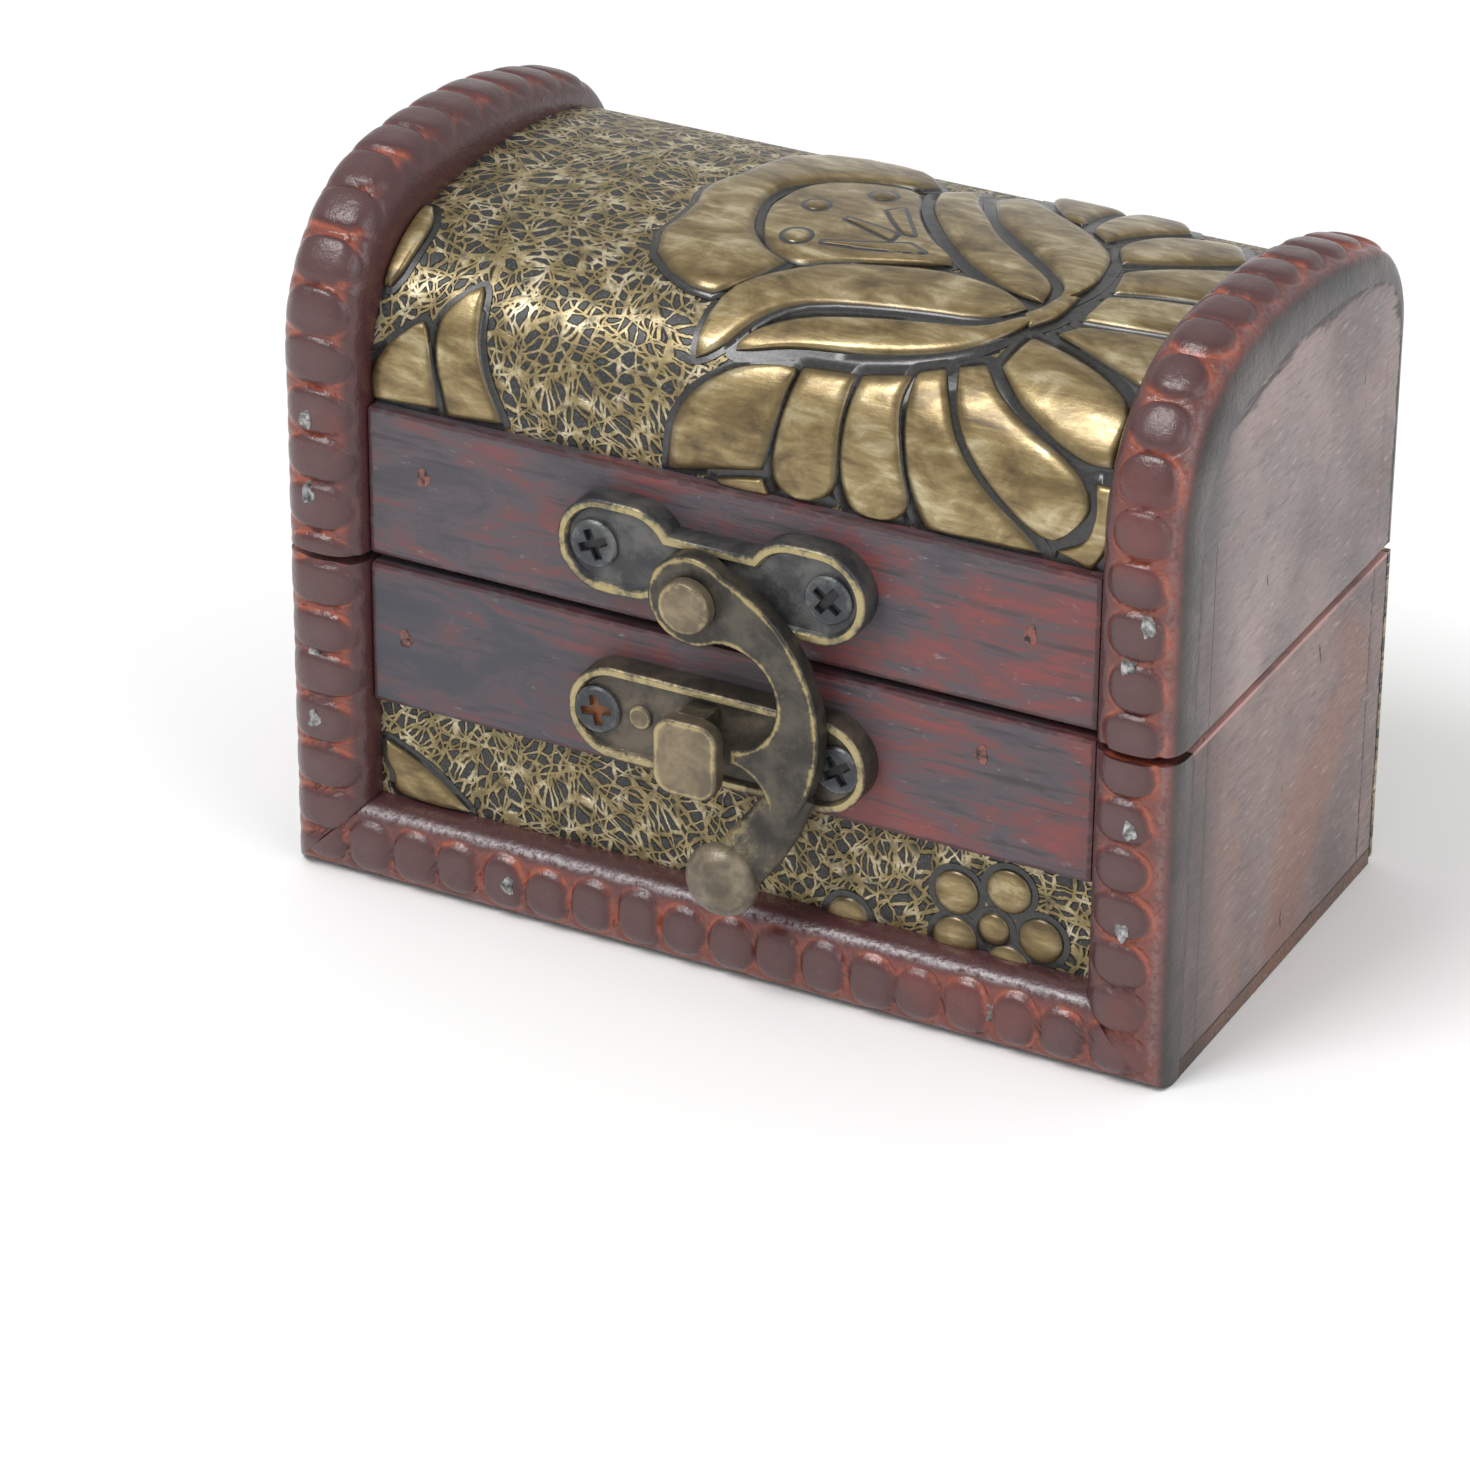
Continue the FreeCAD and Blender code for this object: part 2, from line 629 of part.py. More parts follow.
for side, start in (("left", "-half_width"), ("right", "panel_half")):
    label = f"lid_{side}_arch_trim"
    blank = prism(label + "_blank", "YZ_Plane", arch_outline, start, "trim_width")
    doc.recompute()
    rounded = doc.addObject("Part::Fillet", label + "_round")
    rounded.Base = blank
    rounded.Edges = arch_edges(blank.Shape)
    tools = [
        rod(f"{label}_hole_{number}", INWARD, across, "-trim_face - overrun", up,
            BRAD_HOLE, "trim_depth + overrun")
        for number, (across, up) in enumerate(arch_brads[side], 1)
    ]
    parts.append(cut(label, rounded, fuse(label + "_holes", tools)))
parts.append(brads("lid_trim_brads", arch_brads["left"] + arch_brads["right"], "trim_face"))


# Hasp: plates on the strips, screws into the boards, an arm that swings on a rivet
def plate_rod(name, across, up, radius, start, length):
    """A round piece that grows to the front from the given distance before the middle."""
    return rod(name, FORWARD, across, f"-({start})", up, radius, length)


def front_block(name, left, bottom, width, height, start, depth):
    return block(name, left, f"-({start}) - ({depth})", bottom, width, depth, height)


def screws(label, places):
    """Cross-head screws through a plate and a strip into the board."""
    pieces = []
    for number, (across, up) in enumerate(places, 1):
        head = plate_rod(f"{label}_{number}_head", across, up, "screw_head_radius",
                         "plate_face - screw_head_height", "screw_head_height")
        shank = plate_rod(f"{label}_{number}_shank", across, up, "screw_radius", "wood_front - screw_grip",
                          "plate_face - wood_front + screw_grip - screw_head_height")
        pieces.append(fuse(f"{label}_{number}", [head, shank]))
    return group(label, pieces)


def screw_tools(label, places, start, depth):
    return [plate_rod(f"{label}_{number}", across, up, SCREW_HOLE, start, depth)
            for number, (across, up) in enumerate(places, 1)]


def plate_tools(label, places):
    """Screw holes of a plate, each with a seat that the head lies flush in."""
    tools = screw_tools(label, places, "strip_face - overrun", "plate_thickness + overrun * 2")
    for number, (across, up) in enumerate(places, 1):
        tools.append(plate_rod(f"{label}_seat_{number}", across, up, "screw_head_radius + nail_clearance",
                               "plate_face - screw_head_height", "screw_head_height + overrun"))
    return tools


upper_pieces = []
for number, sign in enumerate("-+", 1):
    outer = f"hasp_offset {sign} (upper_plate_length / 2 - upper_end_radius)"
    inner = f"hasp_offset {sign} (upper_plate_length / 2 - upper_lobe_length + upper_end_radius)"
    for end, across in (("outer", outer), ("inner", inner)):
        upper_pieces.append(plate_rod(f"upper_lobe_{end}_{number}", across, "upper_z",
                                      "upper_end_radius", "strip_face", "plate_thickness"))
    left = outer if sign == "-" else inner
    upper_pieces.append(front_block(
        f"upper_lobe_middle_{number}", left, "upper_z - upper_end_radius",
        "upper_lobe_length - upper_end_radius * 2", "upper_end_radius * 2", "strip_face", "plate_thickness",
    ))
upper_pieces.append(front_block(
    "upper_plate_waist", "hasp_offset - upper_screw_spacing / 2", "upper_z - upper_waist / 2",
    "upper_screw_spacing", "upper_waist", "strip_face", "plate_thickness",
))
upper_pieces.append(plate_rod("upper_plate_eye", "rivet_x", "rivet_z", "arm_eye_radius",
                              "strip_face", "plate_thickness"))
tools = plate_tools("upper_plate_hole", upper_screws)
tools.append(plate_rod("upper_plate_rivet_hole", "rivet_x", "rivet_z", "rivet_radius + nail_clearance",
                       "strip_face - overrun", "plate_thickness + overrun * 2"))
upper_blank = fuse("upper_plate_blank", upper_pieces)
parts.append(cut("hasp_upper_plate", upper_blank, fuse("upper_plate_holes", tools)))
parts.append(screws("hasp_upper_screws", upper_screws))

head = plate_rod("rivet_head", "rivet_x", "rivet_z", "rivet_head_radius",
                 "arm_face + arm_clearance", "rivet_head_height")
shank = plate_rod("rivet_shank", "rivet_x", "rivet_z", "rivet_radius",
                  "strip_face", "arm_face + arm_clearance - strip_face")
parts.append(fuse("hasp_pivot_rivet", [head, shank]))


# Swing arm: eye, bow, a tooth between two round cuts, and a tail bent forward to the knob
def arm_tool(name, across, up, radius):
    return plate_rod(name, across, up, radius, "arm_back - overrun", "arm_thickness + overrun * 2")


bow_x = "rivet_x + arm_bow_offset"
bow_z = "rivet_z - arm_bow_drop"
bow_turn = FORWARD.multiply(FreeCAD.Rotation(FreeCAD.Vector(0, 0, 1), value("arm_start_angle")))
bow = rod("arm_bow_outside", bow_turn, bow_x, "-arm_back", bow_z, "arm_outer_radius", "arm_thickness")
bind(bow, "Angle", "arm_sweep_angle")
window = arm_tool("arm_window", "rivet_x + window_offset", "window_z", "window_radius")
heel = arm_tool("arm_heel", "rivet_x + heel_offset", "heel_z", "heel_radius")
below = f"{bow_z} - arm_outer_radius - overrun"
clearing = front_block(
    "arm_clearing", f"{bow_x} - arm_outer_radius", below,
    "tooth_reach - arm_bow_offset + arm_outer_radius", f"rivet_z - arm_root_drop - ({below})",
    "arm_back - overrun", "arm_thickness + overrun * 2",
)
knob_reach = "(arm_back + arm_face) / 2 + knob_forward"
knob = doc.addObject("Part::Ellipsoid", "arm_knob")
bind(knob, "Radius1", "knob_depth")
bind(knob, "Radius2", "knob_radius")
bind(knob, "Radius3", "knob_radius")
place(knob, FORWARD, "rivet_x + knob_offset", f"-({knob_reach})", "rivet_z - knob_drop")
tail = plate_rod("arm_tail", "rivet_x + tail_offset", "rivet_z - tail_drop", "tail_radius",
                 "arm_back", f"{knob_reach} - arm_back")
eye = plate_rod("arm_eye", "rivet_x", "rivet_z", "arm_eye_radius", "arm_back", "arm_thickness")
bow_cut = cut("arm_bow", bow, fuse("arm_cuts", [window, heel, clearing]))
arm = fuse("arm_blank", [bow_cut, eye, tail, knob])
eye_hole = arm_tool("arm_eye_hole", "rivet_x", "rivet_z", "rivet_radius + pivot_clearance")
parts.append(cut("hasp_swing_arm", arm, eye_hole))

# Catch plate: round-ended plate, a neck, and a head that hangs down from it over the tooth
lower_pieces = []
for number, sign in enumerate("-+", 1):
    across = f"lower_x {sign} (lower_plate_length / 2 - lower_end_radius)"
    lower_pieces.append(plate_rod(f"catch_plate_end_{number}", across, "catch_z", "lower_end_radius",
                                  "strip_face", "plate_thickness"))
lower_pieces.append(front_block(
    "catch_plate_middle", "lower_x - lower_plate_length / 2 + lower_end_radius",
    "catch_z - lower_end_radius", "lower_plate_length - lower_end_radius * 2", "lower_end_radius * 2",
    "strip_face", "plate_thickness",
))
head_back = "arm_face + arm_clearance"
lower_pieces.append(front_block(
    "catch_neck_block", "catch_x - catch_width / 2 + catch_corner", "head_z + catch_height / 2 - catch_neck",
    "catch_width - catch_corner * 2", "catch_neck",
    "strip_face", f"{head_back} - strip_face + catch_depth / 2",
))
left, right = ("catch_x - catch_width / 2", "catch_x + catch_width / 2")
low, high = ("head_z - catch_height / 2", "head_z + catch_height / 2")
corner = "catch_corner"
lower_pieces.append(prism(
    "catch_head", "XZ_Plane",
    [straight(f"{left} + {corner}", low), straight(f"{right} - {corner}", low),
     straight(right, f"{low} + {corner}"), straight(right, f"{high} - {corner}"),
     straight(f"{right} - {corner}", high), straight(f"{left} + {corner}", high),
     straight(left, f"{high} - {corner}"), straight(left, f"{low} + {corner}")],
    head_back, "catch_depth",
))
tools = plate_tools("catch_plate_hole", lower_screws)
parts.append(cut("hasp_catch_plate", fuse("catch_blank", lower_pieces), fuse("catch_plate_holes", tools)))
parts.append(screws("hasp_lower_screws", lower_screws))


# Screw holes through the strips and into the boards
def bore(label, places, start, depth):
    """Cut round holes in a finished body; the cut takes over the body's name."""
    body = doc.getObject(label)
    body.Label = label + "_blank"
    parts.remove(body)
    tools = screw_tools(label + "_bore", places, start, depth)
    item = cut(label + "_bored", body, fuse(label + "_bores", tools))
    item.Label = label
    parts.append(item)


for level, places in (("base", lower_screws), ("lid", upper_screws)):
    bore(f"{level}_front_strip", places, "wood_front - overrun", "strip_thickness + overrun * 2")
    bore(f"{level}_front_board", places, "wood_front - screw_grip", "screw_grip + overrun")


# Hinges: leaves between the two rims, knuckles behind the back, one pin each
def leaf(label, middle, rise, knuckles, nail_places):
    """A leaf at the given height with knuckles at the given stretches across."""
    inside = "hinge_y - barrel_radius - barrel_clearance"
    inner_edge = "wood_back - leaf_inset"
    pieces = [block(label + "_plate", f"{middle} - hinge_width / 2", inner_edge, rise,
                    "hinge_width", f"{inside} - ({inner_edge})", "leaf_thickness")]
    for number, (start, length) in enumerate(knuckles, 1):
        pieces.append(rod(f"{label}_knuckle_{number}", SIDEWAYS, start, "hinge_y", "hinge_z",
                          "barrel_radius", length))
        pieces.append(block(f"{label}_tab_{number}", start, inside, rise,
                            length, f"hinge_y - ({inside})", "leaf_thickness"))
    tools = [rod(label + "_bore", SIDEWAYS, f"{middle} - hinge_width", "hinge_y", "hinge_z",
                 "pin_radius + pin_clearance", "hinge_width * 2")]
    for number, (across, along) in enumerate(nail_places, 1):
        tools.append(rod(f"{label}_nail_hole_{number}", UPRIGHT, across, along, f"{rise} - overrun",
                         "leaf_nail_head + nail_clearance", "leaf_thickness + overrun * 2"))
    return cut(label, fuse(label + "_blank", pieces), fuse(label + "_tools", tools))


def leaf_nails(label, head_foot, shank_foot):
    """Nails whose heads lie flush in the leaf."""
    pieces = []
    for number, (across, along) in enumerate(all_leaf_nails, 1):
        head = rod(f"{label}_{number}_head", UPRIGHT, across, along, head_foot,
                   "leaf_nail_head", "leaf_thickness")
        shank = rod(f"{label}_{number}_shank", UPRIGHT, across, along, shank_foot,
                    "leaf_nail_radius", "leaf_nail_length - nail_clearance")
        pieces.append(fuse(f"{label}_{number}", [head, shank]))
    return group(label, pieces)


LID_LEAF_FOOT = "lid_rim - leaf_thickness"
for side, sign in SIDES:
    middle = f"{sign}hinge_offset"
    outer_length = "(hinge_width - middle_knuckle) / 2 - knuckle_gap"
    outer = [(f"{middle} - hinge_width / 2", outer_length),
             (f"{middle} + middle_knuckle / 2 + knuckle_gap", outer_length)]
    inner = [(f"{middle} - middle_knuckle / 2", "middle_knuckle")]
    spots = leaf_nail_places(side, sign)
    parts.append(leaf(f"{side}_hinge_base_leaf", middle, "base_height", outer, spots))
    parts.append(leaf(f"{side}_hinge_lid_leaf", middle, LID_LEAF_FOOT, inner, spots))
    parts.append(rod(f"{side}_hinge_pin", SIDEWAYS, f"{middle} - hinge_width / 2 - pin_overhang", "hinge_y",
                     "hinge_z", "pin_radius", "hinge_width + pin_overhang * 2"))
parts.append(leaf_nails("hinge_base_nails", "base_height",
                        "base_height - leaf_nail_length + nail_clearance"))
parts.append(leaf_nails("hinge_lid_nails", LID_LEAF_FOOT, "lid_rim"))

doc.recompute()


# Check every object and shape, then write one file for each sub-part
def check(item):
    if "Invalid" in item.State or "Error" in item.State:
        raise RuntimeError(item.Label + " failed to build")


for item in doc.Objects:
    check(item)
for item in parts:
    if item.Shape.isNull() or not item.Shape.isValid():
        raise RuntimeError(item.Label + " has no valid shape")
os.makedirs("parts", exist_ok=True)
for item in parts:
    item.Shape.exportStep(f"parts/{item.Label}.step")
print(len(parts), "sub-parts written")
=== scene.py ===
# Treasure chest box: a small wooden chest with carved mouldings, gilt embossed cloth and a swing hasp.
import math

import bmesh
import bpy
from mathutils import Matrix, Vector
from mathutils.bvhtree import BVHTree


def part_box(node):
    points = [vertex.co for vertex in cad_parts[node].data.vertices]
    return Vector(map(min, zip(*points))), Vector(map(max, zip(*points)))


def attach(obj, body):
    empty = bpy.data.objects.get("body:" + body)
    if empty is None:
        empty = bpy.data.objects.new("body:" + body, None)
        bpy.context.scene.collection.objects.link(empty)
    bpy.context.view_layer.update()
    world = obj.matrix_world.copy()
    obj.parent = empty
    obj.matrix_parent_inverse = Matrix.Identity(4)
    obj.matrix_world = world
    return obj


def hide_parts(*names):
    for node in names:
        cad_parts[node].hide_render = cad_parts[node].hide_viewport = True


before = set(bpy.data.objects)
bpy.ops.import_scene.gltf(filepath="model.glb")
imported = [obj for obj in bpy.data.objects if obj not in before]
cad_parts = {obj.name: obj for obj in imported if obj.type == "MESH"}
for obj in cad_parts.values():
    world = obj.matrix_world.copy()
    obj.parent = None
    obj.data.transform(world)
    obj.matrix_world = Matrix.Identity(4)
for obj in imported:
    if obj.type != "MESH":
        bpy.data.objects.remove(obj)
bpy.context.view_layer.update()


# Base boards. Four thin softwood boards and a bottom are butted and glued into an open tray, then wiped with
# a thin grey-brown stain. The ends of the long boards and the edge of the bottom stay in sight at the sides.
MM = 0.001
EASED_EDGE = 0.08 * MM
GRIME_AND_SHADE_WIDTH = 1.0 * MM
GRIME_AND_SHADE_SHARE = 0.2
GRIMY_SHADED_FACE_SHARE = 0.36
DARK_FRONT_FULL = -17 * MM
DARK_FRONT_END = -9 * MM
ALONG_SIDE = (1.0, 0.22, 1.0)
ALONG_FRONT = (0.13, 1.0, 1.0)
BASE_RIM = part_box("base_right_side_panel")[1].z


def paint(red, green, blue):
    """A colour as a paint chart gives it, 0 to 255 a channel, for a shader's socket."""
    shares = [value / 255 for value in (red, green, blue)]
    return [s / 12.92 if s <= 0.04045 else ((s + 0.055) / 1.055) ** 2.4 for s in shares] + [1.0]


def plug(node, inputs):
    """Gives a node its inputs: one that is a socket is linked, and any other value is set."""
    for key, value in inputs.items():
        if isinstance(value, bpy.types.NodeSocket):
            node.id_data.links.new(value, node.inputs[key])
        else:
            node.inputs[key].default_value = value


def wire(near, kind, inputs, **settings):
    """Adds one shader node with its settings and inputs, to the tree of a node or socket near it."""
    made = near.id_data.nodes.new("ShaderNode" + kind)
    for key, value in settings.items():
        setattr(made, key, value)
    plug(made, inputs)
    return made


def grain(place, scale, detail=4.0, rough=0.55, warp=0.0):
    """Soft cloudy variation from 0 to 1."""
    inputs = {"Vector": place, "Scale": scale, "Detail": detail, "Roughness": rough, "Distortion": warp}
    return wire(place, "TexNoise", inputs).outputs[0]


def stretched(place, scale, turn=(0.0, 0.0, 0.0)):
    """The same place, turned and stretched, so that a pattern runs along one way."""
    inputs = {"Vector": place, "Rotation": [math.radians(a) for a in turn], "Scale": scale}
    return wire(place, "Mapping", inputs).outputs[0]


def between(value, low, high, first=0.0, last=1.0):
    """A smooth step from first to last while the value goes from low to high."""
    inputs = {"Value": value, "From Min": low, "From Max": high, "To Min": first, "To Max": last}
    return wire(value, "MapRange", inputs, interpolation_type="SMOOTHSTEP").outputs[0]


def sum_of(kind, one, other):
    """One step of arithmetic on two values."""
    return wire(one, "Math", {0: one, 1: other}, operation=kind).outputs[0]


def times(one, other):
    """The product of two values."""
    return sum_of("MULTIPLY", one, other)


def plus(one, other):
    """The total of two values."""
    return sum_of("ADD", one, other)


def blend(share, under, over):
    """One coat of colour over another."""
    return wire(share, "Mix", {0: share, 6: under, 7: over}, data_type="RGBA").outputs[2]


def washes(colour, *coats):
    """Thin coats over a colour: each a value, where it starts, where it is full, its share and its paint."""
    for value, start, full, share, over in coats:
        over = paint(*over) if isinstance(over, tuple) else over
        colour = blend(between(value, start, full, 0.0, share), colour, over)
    return colour


def tones(value, *stops):
    """A run of colours along a value, each stop a place and a paint."""
    made = wire(value, "ValToRGB", {0: value})
    run = made.color_ramp.elements
    run[0].position, run[1].position = stops[0][0], stops[-1][0]
    run[0].color, run[1].color = paint(*stops[0][1:]), paint(*stops[-1][1:])
    for place, *colour in stops[1:-1]:
        run.new(place).color = paint(*colour)
    return made.outputs[0]


def marked(near, name):
    """A value that the mesh carries on its points."""
    return wire(near, "Attribute", {}, attribute_name=name).outputs["Fac"]


def new_finish(name):
    """A bare material, with its shader and its Object coordinates."""
    finish = bpy.data.materials.new(name)
    finish.use_nodes = True
    shader = finish.node_tree.nodes["Principled BSDF"]
    return finish, shader, wire(shader, "TexCoord", {}).outputs["Object"]


def coat(shader, colour, rough, height, depth, **sockets):
    """Gives a finish's shader its colour, roughness, relief and other sockets."""
    relief = wire(shader, "Bump", {"Strength": 1.0, "Distance": depth, "Height": height}).outputs[0]
    plug(shader, {"Base Color": colour, "Roughness": rough, "Normal": relief})
    plug(shader, {key.replace("_", " "): value for key, value in sockets.items()})


def board_stain(name, run, *paints):
    """Softwood stain: fibres along the board, warm blotches, dark slits, a pale rim, grime and painted shade
    on marked edges.
    """
    finish, shader, place = new_finish(name)
    stain, warm, flush, shade = (paint(*tone) for tone in paints)
    fibres = grain(stretched(place, run, (6, 0, 0)), 2500, 6, 0.66, 0.6)
    strands = grain(stretched(place, run, (6, 0, 0)), 520, 5, 0.62, 1.2)
    blotches = grain(place, 100, 5, 0.6, 0.4)
    flushes = grain(place, 46, 4, 0.55, 0.6)
    clouds = grain(place, 27, 3, 0.5, 0.3)
    slits = grain(stretched(place, (1.0, 1.0, 0.3), (12, 0, 0)), 520, 3, 0.5, 0.4)
    slit_mask = between(slits, 0.7, 0.75)
    # Grime and painted shade along the marked edges: the joints between boards are painted dark.
    ragged = plus(marked(shader, "edge"), between(strands, 0.3, 0.7, -0.35, 0.35))
    colour = washes(
        stain, (blotches, 0.36, 0.64, 1.0, warm), (flushes, 0.52, 0.7, 0.75, flush),
        (clouds, 0.5, 0.3, 0.7, shade), (strands, 0.47, 0.3, 0.35, shade), (fibres, 0.47, 0.32, 0.4, shade),
        (fibres, 0.56, 0.72, 0.4, (192, 178, 174)), (slits, 0.7, 0.75, 1.0, (44, 37, 37)),
        (ragged, 0.62, 1.0, 0.9, (48, 43, 44)),
    )
    _, inward, level = wire(shader, "SeparateXYZ", {0: place}).outputs
    # Darker towards the front edge, patchy with the blotches.
    front_darkening = between(inward, DARK_FRONT_FULL, DARK_FRONT_END, 1.0, 0.0)
    front_darkening = times(front_darkening, between(blotches, 0.3, 0.6, 0.5, 1.0))
    colour = blend(front_darkening, colour, shade)
    # A pale line just under the base's top edge, patchy with the blotches.
    rim = between(level, BASE_RIM - 0.5 * MM, BASE_RIM - 0.15 * MM)
    rim = times(rim, between(level, BASE_RIM + 0.3 * MM, BASE_RIM + 0.2 * MM))
    rim = times(rim, between(blotches, 0.3, 0.55, 0.2, 0.85))
    colour = blend(rim, colour, paint(196, 150, 144))
    height = sum_of("SUBTRACT", fibres, slit_mask)
    coat(shader, colour, between(fibres, 0.3, 0.7, 0.55, 0.42), height, 0.12 * MM)
    return finish


def set_piece(bm, name, body, slot, finish, *nodes, crease=40):
    """Makes a finished mesh a piece of the chest: on its body, in place of its CAD nodes; its slot is not
    used.
    """
    bmesh.ops.recalc_face_normals(bm, faces=bm.faces)
    mesh = bpy.data.meshes.new(name)
    bm.to_mesh(mesh)
    bm.free()
    mesh.materials.append(finish)
    mesh.shade_smooth()
    mesh.set_sharp_from_angle(angle=math.radians(crease))
    piece = bpy.data.objects.new(name, mesh)
    bpy.context.scene.collection.objects.link(piece)
    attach(piece, body)
    if nodes:
        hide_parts(*nodes)
    return piece


def eased_board(low, high, ease, worn, grimy_shaded_face=None):
    """A board with eased edges, its edge mark 1 along all of them or only round the face at the given y:
    wear on a strip, grime and painted shade on a board.
    """
    bm = bmesh.new()
    edge = bm.verts.layers.float.new("edge")
    bmesh.ops.create_cube(bm, size=1.0)
    bmesh.ops.scale(bm, vec=high - low, verts=bm.verts)
    bmesh.ops.translate(bm, vec=(low + high) / 2, verts=bm.verts)
    bmesh.ops.bevel(
        bm, geom=bm.edges[:], offset=ease, offset_type="OFFSET",
        affect="EDGES", segments=2, profile=0.5, material=-1,
    )
    for vert in bm.verts:
        vert[edge] = 1.0 if grimy_shaded_face is None or abs(vert.co.y - grimy_shaded_face) < 2 * ease else 0.0
    reach = min(high - low) * (GRIME_AND_SHADE_SHARE if grimy_shaded_face is None else GRIMY_SHADED_FACE_SHARE)
    sides = [face for face in bm.faces if max(abs(part) for part in face.normal) > 0.999]
    bmesh.ops.inset_individual(bm, faces=sides, thickness=min(worn, reach), depth=0.0)
    for face in sides:
        for vert in face.verts:
            vert[edge] = 0.0
    return bm


base_stain = board_stain(
    "base_stain", ALONG_SIDE, (124, 109, 107), (144, 122, 117), (142, 104, 92), (84, 75, 75),
)
inside_stain = board_stain(
    "inside_stain", ALONG_FRONT, (104, 80, 68), (122, 92, 76), (134, 92, 72), (66, 50, 45),
)


def outer_board(name, node, body, stain):
    """A wall's board in place of its CAD node, with grime and painted shade along the edges of the face that
    looks out.
    """
    low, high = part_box(node)
    grimy_shaded_face = low.y if "front" in node else high.y
    board = eased_board(low, high, EASED_EDGE, GRIME_AND_SHADE_WIDTH, grimy_shaded_face)
    set_piece(board, name, body, "stained_board", stain, node)


for wall in ("left_side_panel", "right_side_panel", "front_board", "back_board"):
    outer_board("tray_" + wall, "base_" + wall, "base", base_stain)
bottom = eased_board(*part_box("base_bottom_panel"), EASED_EDGE, GRIME_AND_SHADE_WIDTH)
set_piece(bottom, "tray_bottom", "base", "stained_board", inside_stain, "base_bottom_panel")


# Embossed cloth of the base. A backed leathercloth panel is glued to the front, and another to the back.
# It is pressed with veins, slits, round blossoms and leaves, painted charcoal and rubbed with gold paint.
CLOTH_SINK = 0.2 * MM
CLOTH_TURN = 0.5 * MM
GROOVE_WIDTH = 0.54
WIDE_GROOVE = 0.95
GROOVE_LIFT = 0.08
LEAF_GROW = 0.28
GROOVE_STEP = 0.012
SKIRT_DROP = 0.3
LEAF_DOME = 0.6
LEAF_ROWS = 24
LEAF_COLUMNS = 14
SIDE_ROUND = 0.2
END_ROUND = 0.08
LEAF_CROWN = 0.25
CUT_SLACK = 0.001
LEAF_MERGE = 0.02
SKIRT_FLARE = 0.05
BUTTON_TURNS = (0.0, 0.35, 0.7, 1.0, 1.25, 1.45)
BUTTON_POWER = 0.6
BUTTON_STEPS = 28
BUTTON_DOME = 0.6
CHART_SCALE = 100
PANEL_COLUMNS = 32
PANEL_ROWS = 5
GILT_CREASE = 75


def cracked_cloth(name):
    """Charcoal cloth pressed with veins and patches of slanting slits, gold rubbed on all that stands up."""
    finish, shader, _ = new_finish(name)
    chart = wire(shader, "UVMap", {}, uv_map="cloth").outputs[0]
    ripple = wire(shader, "TexNoise", {"Vector": chart, "Scale": 90.0, "Detail": 3.0}).outputs[1]

    def shifted(kind, where, by):
        return wire(where, "VectorMath", {0: where, 1: by}, operation=kind).outputs[0]

    ripple = shifted("MULTIPLY", shifted("SUBTRACT", ripple, (0.5, 0.5, 0.5)), (0.006, 0.006, 0.0))
    bent = shifted("ADD", chart, ripple)

    def cells(where, scale, feature):
        inputs = {"Vector": where, "Scale": scale, "Randomness": 1.0}
        return wire(shader, "TexVoronoi", inputs, voronoi_dimensions="2D", feature=feature).outputs

    def slits(turn, scale, stretch):
        turned = wire(bent, "VectorRotate", {"Vector": bent, "Angle": turn}, rotation_type="Z_AXIS")
        drawn = stretched(turned.outputs[0], (1.0, stretch, 1.0))
        return cells(drawn, scale, "DISTANCE_TO_EDGE")["Distance"]

    def patch_slits(scale, shift, stretch, count, wide):
        moved = shifted("ADD", bent, (shift, shift * 0.7, 0.0))
        tint = wire(shader, "SeparateColor", {0: cells(moved, scale, "F1")["Color"]}).outputs[0]
        lines = slits(times(tint, math.tau), count, stretch)
        bound = cells(moved, scale, "DISTANCE_TO_EDGE")["Distance"]
        return between(lines, wide * 1.5, wide * 0.6), bound

    long, bounds = patch_slits(15, 0.0, 0.25, 74, 0.088)
    short, seams = patch_slits(26, 0.31, 0.5, 96, 0.112)
    veins = between(bounds, 0.035, 0.012)
    seams = between(seams, 0.05, 0.02)
    ridges = long
    for more in (short, veins, seams):
        ridges = sum_of("MAXIMUM", ridges, more)
    rubbed = between(grain(chart, 75, 4, 0.65), 0.3, 0.52, 0.3, 1.0)
    gold = tones(
        grain(chart, 42, 5, 0.65),
        (0.32, 100, 87, 55), (0.5, 147, 131, 92), (0.66, 208, 196, 166),
    )
    ground = tones(
        grain(chart, 420, 3, 0.6),
        (0.38, 27, 28, 30), (0.58, 44, 45, 47), (0.76, 104, 104, 105),
    )
    gilt = times(ridges, rubbed)
    colour = blend(gilt, ground, gold)
    rough = between(gilt, 0.0, 1.0, 0.4, 0.36)
    metal = times(gilt, 0.5)
    coat(shader, colour, rough, ridges, 0.34 * MM, Specular_IOR_Level=0.55, Metallic=metal)
    return finish


